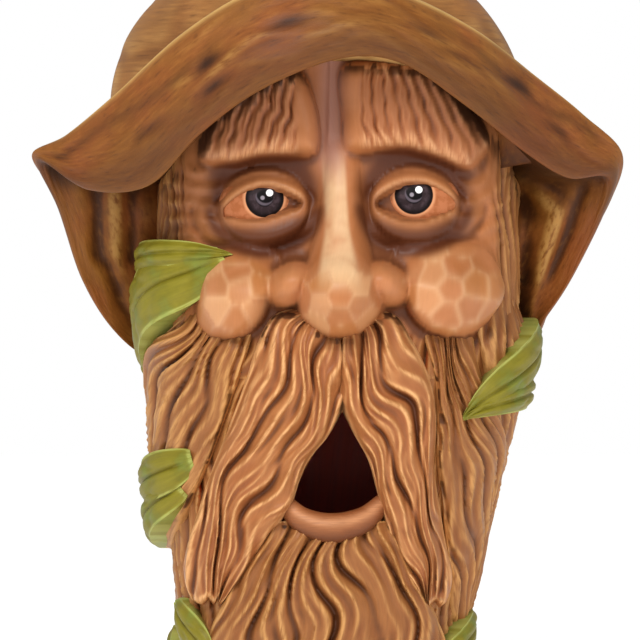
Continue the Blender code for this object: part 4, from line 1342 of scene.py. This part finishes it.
# A painted highlight on the lip's top, and painted shade on its turned-under side.
lip_highlight = lip_paint.times(lip_paint.number("lip_highlight"), lip_paint.line(lip_paint.streaks, 0.8, 0.3))
lip_colour = lip_paint.mix(lip_highlight, lip_colour, rgb(196, 136, 92))
lip_colour = lip_paint.wash(lip_colour, "lip_underside_shade", 0.8, rgb(92, 48, 24))
lay_on(lip_paint, lip_colour)
print("mixed", len(bpy.data.materials), "paints")

# %% Skin
skin_paint = begin("skin_paint")
skin = washed_and_brushed(
    skin_paint, SKIN, cut_at=(-0.05, -0.6), crest_at=(0.25, 0.9), ochre_share=0.6, pale_share=0.4
)
painted_facet_light = skin_paint.number("facet_tint")
# A painted highlight on the nose's ridge, broken up by the patches.
painted_nose_highlight = skin_paint.times(skin_paint.number("worn"), skin_paint.span(skin_paint.patches, 0.2, 0.6))
for mask, share, tone in (
    # Painted light and shade: some facets lighter, some darker.
    (skin_paint.span(painted_facet_light, 0.5, 1.0), 0.5, rgb(222, 172, 122)),
    (skin_paint.span(painted_facet_light, 0.5, 0.0), 0.55, rgb(174, 112, 58)),
    ("facet_line", 0.34, rgb(234, 194, 148)),
    (painted_nose_highlight, 0.6, rgb(228, 196, 152)),
    ("stripe", 0.65, rgb(164, 122, 112)),
    # painted shade round the eyes
    ("eye_wash", 0.94, rgb(80, 38, 18)),
):
    skin = skin_paint.wash(skin, mask, share, tone)
brow_colour = washed_and_brushed(
    skin_paint, BROW, cut_at=(0.04, -0.25), crest_at=(0.04, 0.36), pale_share=0.6
)
skin = skin_paint.mix(skin_paint.number("browed"), skin, brow_colour)
skin = skin_paint.mix(skin_paint.number("hairy"), skin, washed_and_brushed(skin_paint, BEARD))
lay_on(skin_paint, skin, roughness=0.42, tooth=0.06, drift=0.16)
print("mixed", len(bpy.data.materials), "paints")


# %% Hat and leaves
def hat_finish(name, six):
    paint = begin(name, 22)
    hat = washed_and_brushed(
        paint, six, cut_at=(-0.04, -0.3), broad_at=(-0.05, -0.5), sky_shade_at=(0.4, 0.95),
        crest_at=(0.06, 0.3), pale_share=0.5,
    )
    for mask, share, tone in (
        (paint.span(paint.streaks, 0.5, 0.75), 0.22, six["ochre"]),
        (paint.span(paint.streaks, 0.45, 0.25), 0.4, six["dark"]),
        # Painted shade at the band's lower edge, and painted shadow under the brim.
        ("under_edge", 0.6, six["dark"]),
        ("underside", 0.8, six["deep"]),
        # Painted shade in the scoops and the long groove.
        ("scooped", 0.85, six["deep"]),
        # The crest's pale line: dry brush, and partly a painted highlight.
        ("rim", 0.7, rgb(204, 166, 100)),
    ):
        hat = paint.wash(hat, mask, share, tone)
    return lay_on(paint, hat, roughness=0.5)


hat_paint = hat_finish("brim_paint", HAT)
crown_paint = hat_finish("crown_paint", CROWN)

leaf_paint = begin("leaf_paint", 60)
leaf = washed_and_brushed(leaf_paint, LEAF, crest_at=(0.2, 0.8), pale_share=0.5)
leaf = leaf_paint.wash(leaf, leaf_paint.span(leaf_paint.patches, 0.5, 0.7), 0.4, rgb(112, 134, 62))
lay_on(leaf_paint, leaf, roughness=0.45, tooth=0.1)
print("mixed", len(bpy.data.materials), "paints")

# %% [markdown]
# ## Painted eyes
# The eye is the one glossy place. The white is left skin-coloured, as on many garden carvings, with a pale
# ring round a nearly black iris, a darker pupil, and two painted lights. All of it is distance from a
# point, read from the attribute that the eyeball carries.

# %% Painted eyes
eye_paint = Paint("eye_paint")
gaze = eye_paint.carried("gaze").outputs["Vector"]


def away_from(x, z):
    """The distance in mm from a spot beside the middle of the iris."""
    return eye_paint.node("VectorMath", {0: gaze, 1: (x, z, 0)}, operation="DISTANCE").outputs["Value"]


from_middle = away_from(0, 0)
flecks = eye_paint.noise(300, detail=3)
ball_colour = eye_paint.mix(eye_paint.span(flecks, 0.4, 0.6), rgb(174, 106, 68), rgb(158, 92, 54))
ball_colour = eye_paint.mix(eye_paint.span(from_middle, 11.2, 9.6), ball_colour, rgb(206, 142, 100))
iris_colour = eye_paint.mix(eye_paint.span(flecks, 0.42, 0.62), rgb(44, 32, 34), rgb(66, 52, 56))
iris_colour = eye_paint.mix(eye_paint.span(from_middle, 6.0, 8.6), iris_colour, rgb(16, 8, 8))
ball_colour = eye_paint.mix(eye_paint.span(from_middle, 9.5, 9.0), ball_colour, iris_colour)
ball_colour = eye_paint.mix(eye_paint.span(from_middle, 4.6, 3.7), ball_colour, rgb(12, 7, 9))
crescent = eye_paint.times(
    eye_paint.span(away_from(0, 0.8), 4.6, 4.0), eye_paint.span(away_from(0.6, 2.2), 4.2, 4.9)
)
ball_colour = eye_paint.wash(ball_colour, crescent, 0.5, rgb(120, 108, 118))
ball_colour = eye_paint.mix(eye_paint.span(away_from(-1.0, 0.2), 1.3, 0.7), ball_colour, rgb(140, 132, 140))
ball_colour = eye_paint.mix(eye_paint.span(away_from(2.4, 2.6), 1.9, 1.5), ball_colour, rgb(255, 255, 255))
eye_paint.feed(eye_paint.shader.inputs["Base Color"], ball_colour)
eye_paint.feed(eye_paint.shader.inputs["Roughness"], eye_paint.line(flecks, 0.3, 0.3))
eye_paint.shader.inputs["Specular IOR Level"].default_value = 0.08
eye_paint.bump(flecks, 0.08)


def finish(piece, paint):
    piece.data.materials.clear()
    piece.data.materials.append(paint.material)
    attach(piece, "root")
    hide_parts("birdhouse_casting")


for piece in hair_pieces:
    finish(piece, hair_paint if piece.name.startswith("moustache") else beard_paint)
for piece in leaves:
    finish(piece, leaf_paint)
for piece in eyeballs:
    finish(piece, eye_paint)
finish(trunk, beard_paint)
finish(face, skin_paint)
finish(lip, lip_paint)
finish(crown, crown_paint)
finish(brim, hat_paint)

# %% [markdown]
# ## Floor, light and camera
# The photograph is a plain studio one: a white ground, a broad soft light above and in front, and a long
# lens level with the nose. Its frame cuts off the top of the hat and the foot, and so does this one.

# %% Floor, light and camera
scene = bpy.context.scene
scene.view_settings.view_transform = "Standard"
floor = begin_with(bpy.ops.mesh.primitive_plane_add, "floor", size=8, location=(0, 0, 0))
floor_paint = Paint("floor_paint")
mottle = floor_paint.noise(6)
floor_colour = floor_paint.mix(mottle, (0.9, 0.9, 0.9, 1), (0.94, 0.94, 0.94, 1))
floor_paint.feed(floor_paint.shader.inputs["Base Color"], floor_colour)
floor_paint.shader.inputs["Roughness"].default_value = 0.9
floor_paint.shader.inputs["Emission Color"].default_value = (1, 1, 1, 1)
floor_paint.shader.inputs["Emission Strength"].default_value = 0.5
floor.data.materials.append(floor_paint.material)

world = bpy.data.worlds.new("studio")
scene.world = world
world.use_nodes = True
sky = world.node_tree
seen = sky.nodes.new("ShaderNodeLightPath").outputs["Is Camera Ray"]
strength = sky.nodes.new("ShaderNodeMapRange")
strength.inputs["To Min"].default_value = 0.55
strength.inputs["To Max"].default_value = 1.0
sky.links.new(seen, strength.inputs["Value"])
sky.links.new(strength.outputs["Result"], sky.nodes["Background"].inputs["Strength"])
sky.nodes["Background"].inputs["Color"].default_value = (1, 1, 1, 1)


def soft_light(name, place, target, size, power):
    data = bpy.data.lights.new(name, "AREA")
    data.shape = "RECTANGLE"
    data.size, data.size_y = size
    data.energy = power
    light = bpy.data.objects.new(name, data)
    light.location = place
    light.rotation_euler = (Vector(target) - Vector(place)).to_track_quat("-Z", "Y").to_euler()
    scene.collection.objects.link(light)


soft_light("key", (-0.35, -1.1, 1.0), (0, 0, 0.2), (0.7, 0.5), 15)
soft_light("fill", (0.9, -1.1, 0.35), (0, 0, 0.18), (0.9, 0.9), 4)

camera = bpy.data.objects.new("camera", bpy.data.cameras.new("camera"))
scene.collection.objects.link(camera)
scene.camera = camera
AIM = Vector((-3.1 * MM, 0, 176.5 * MM))
AWAY = 2.4  # m from the aim to the lens
FACE_PLANE = 0.045  # m in front of the aim, where a pixel of the photograph is MM_A_PIXEL wide
PIXELS, MM_A_PIXEL = 640, 0.477
camera.location = AIM + Vector((0, -AWAY, 0))
camera.rotation_euler = (math.radians(90), 0, 0)
camera.data.sensor_width = 36
camera.data.lens = 36 * (AWAY - FACE_PLANE) / (PIXELS * MM_A_PIXEL * MM)
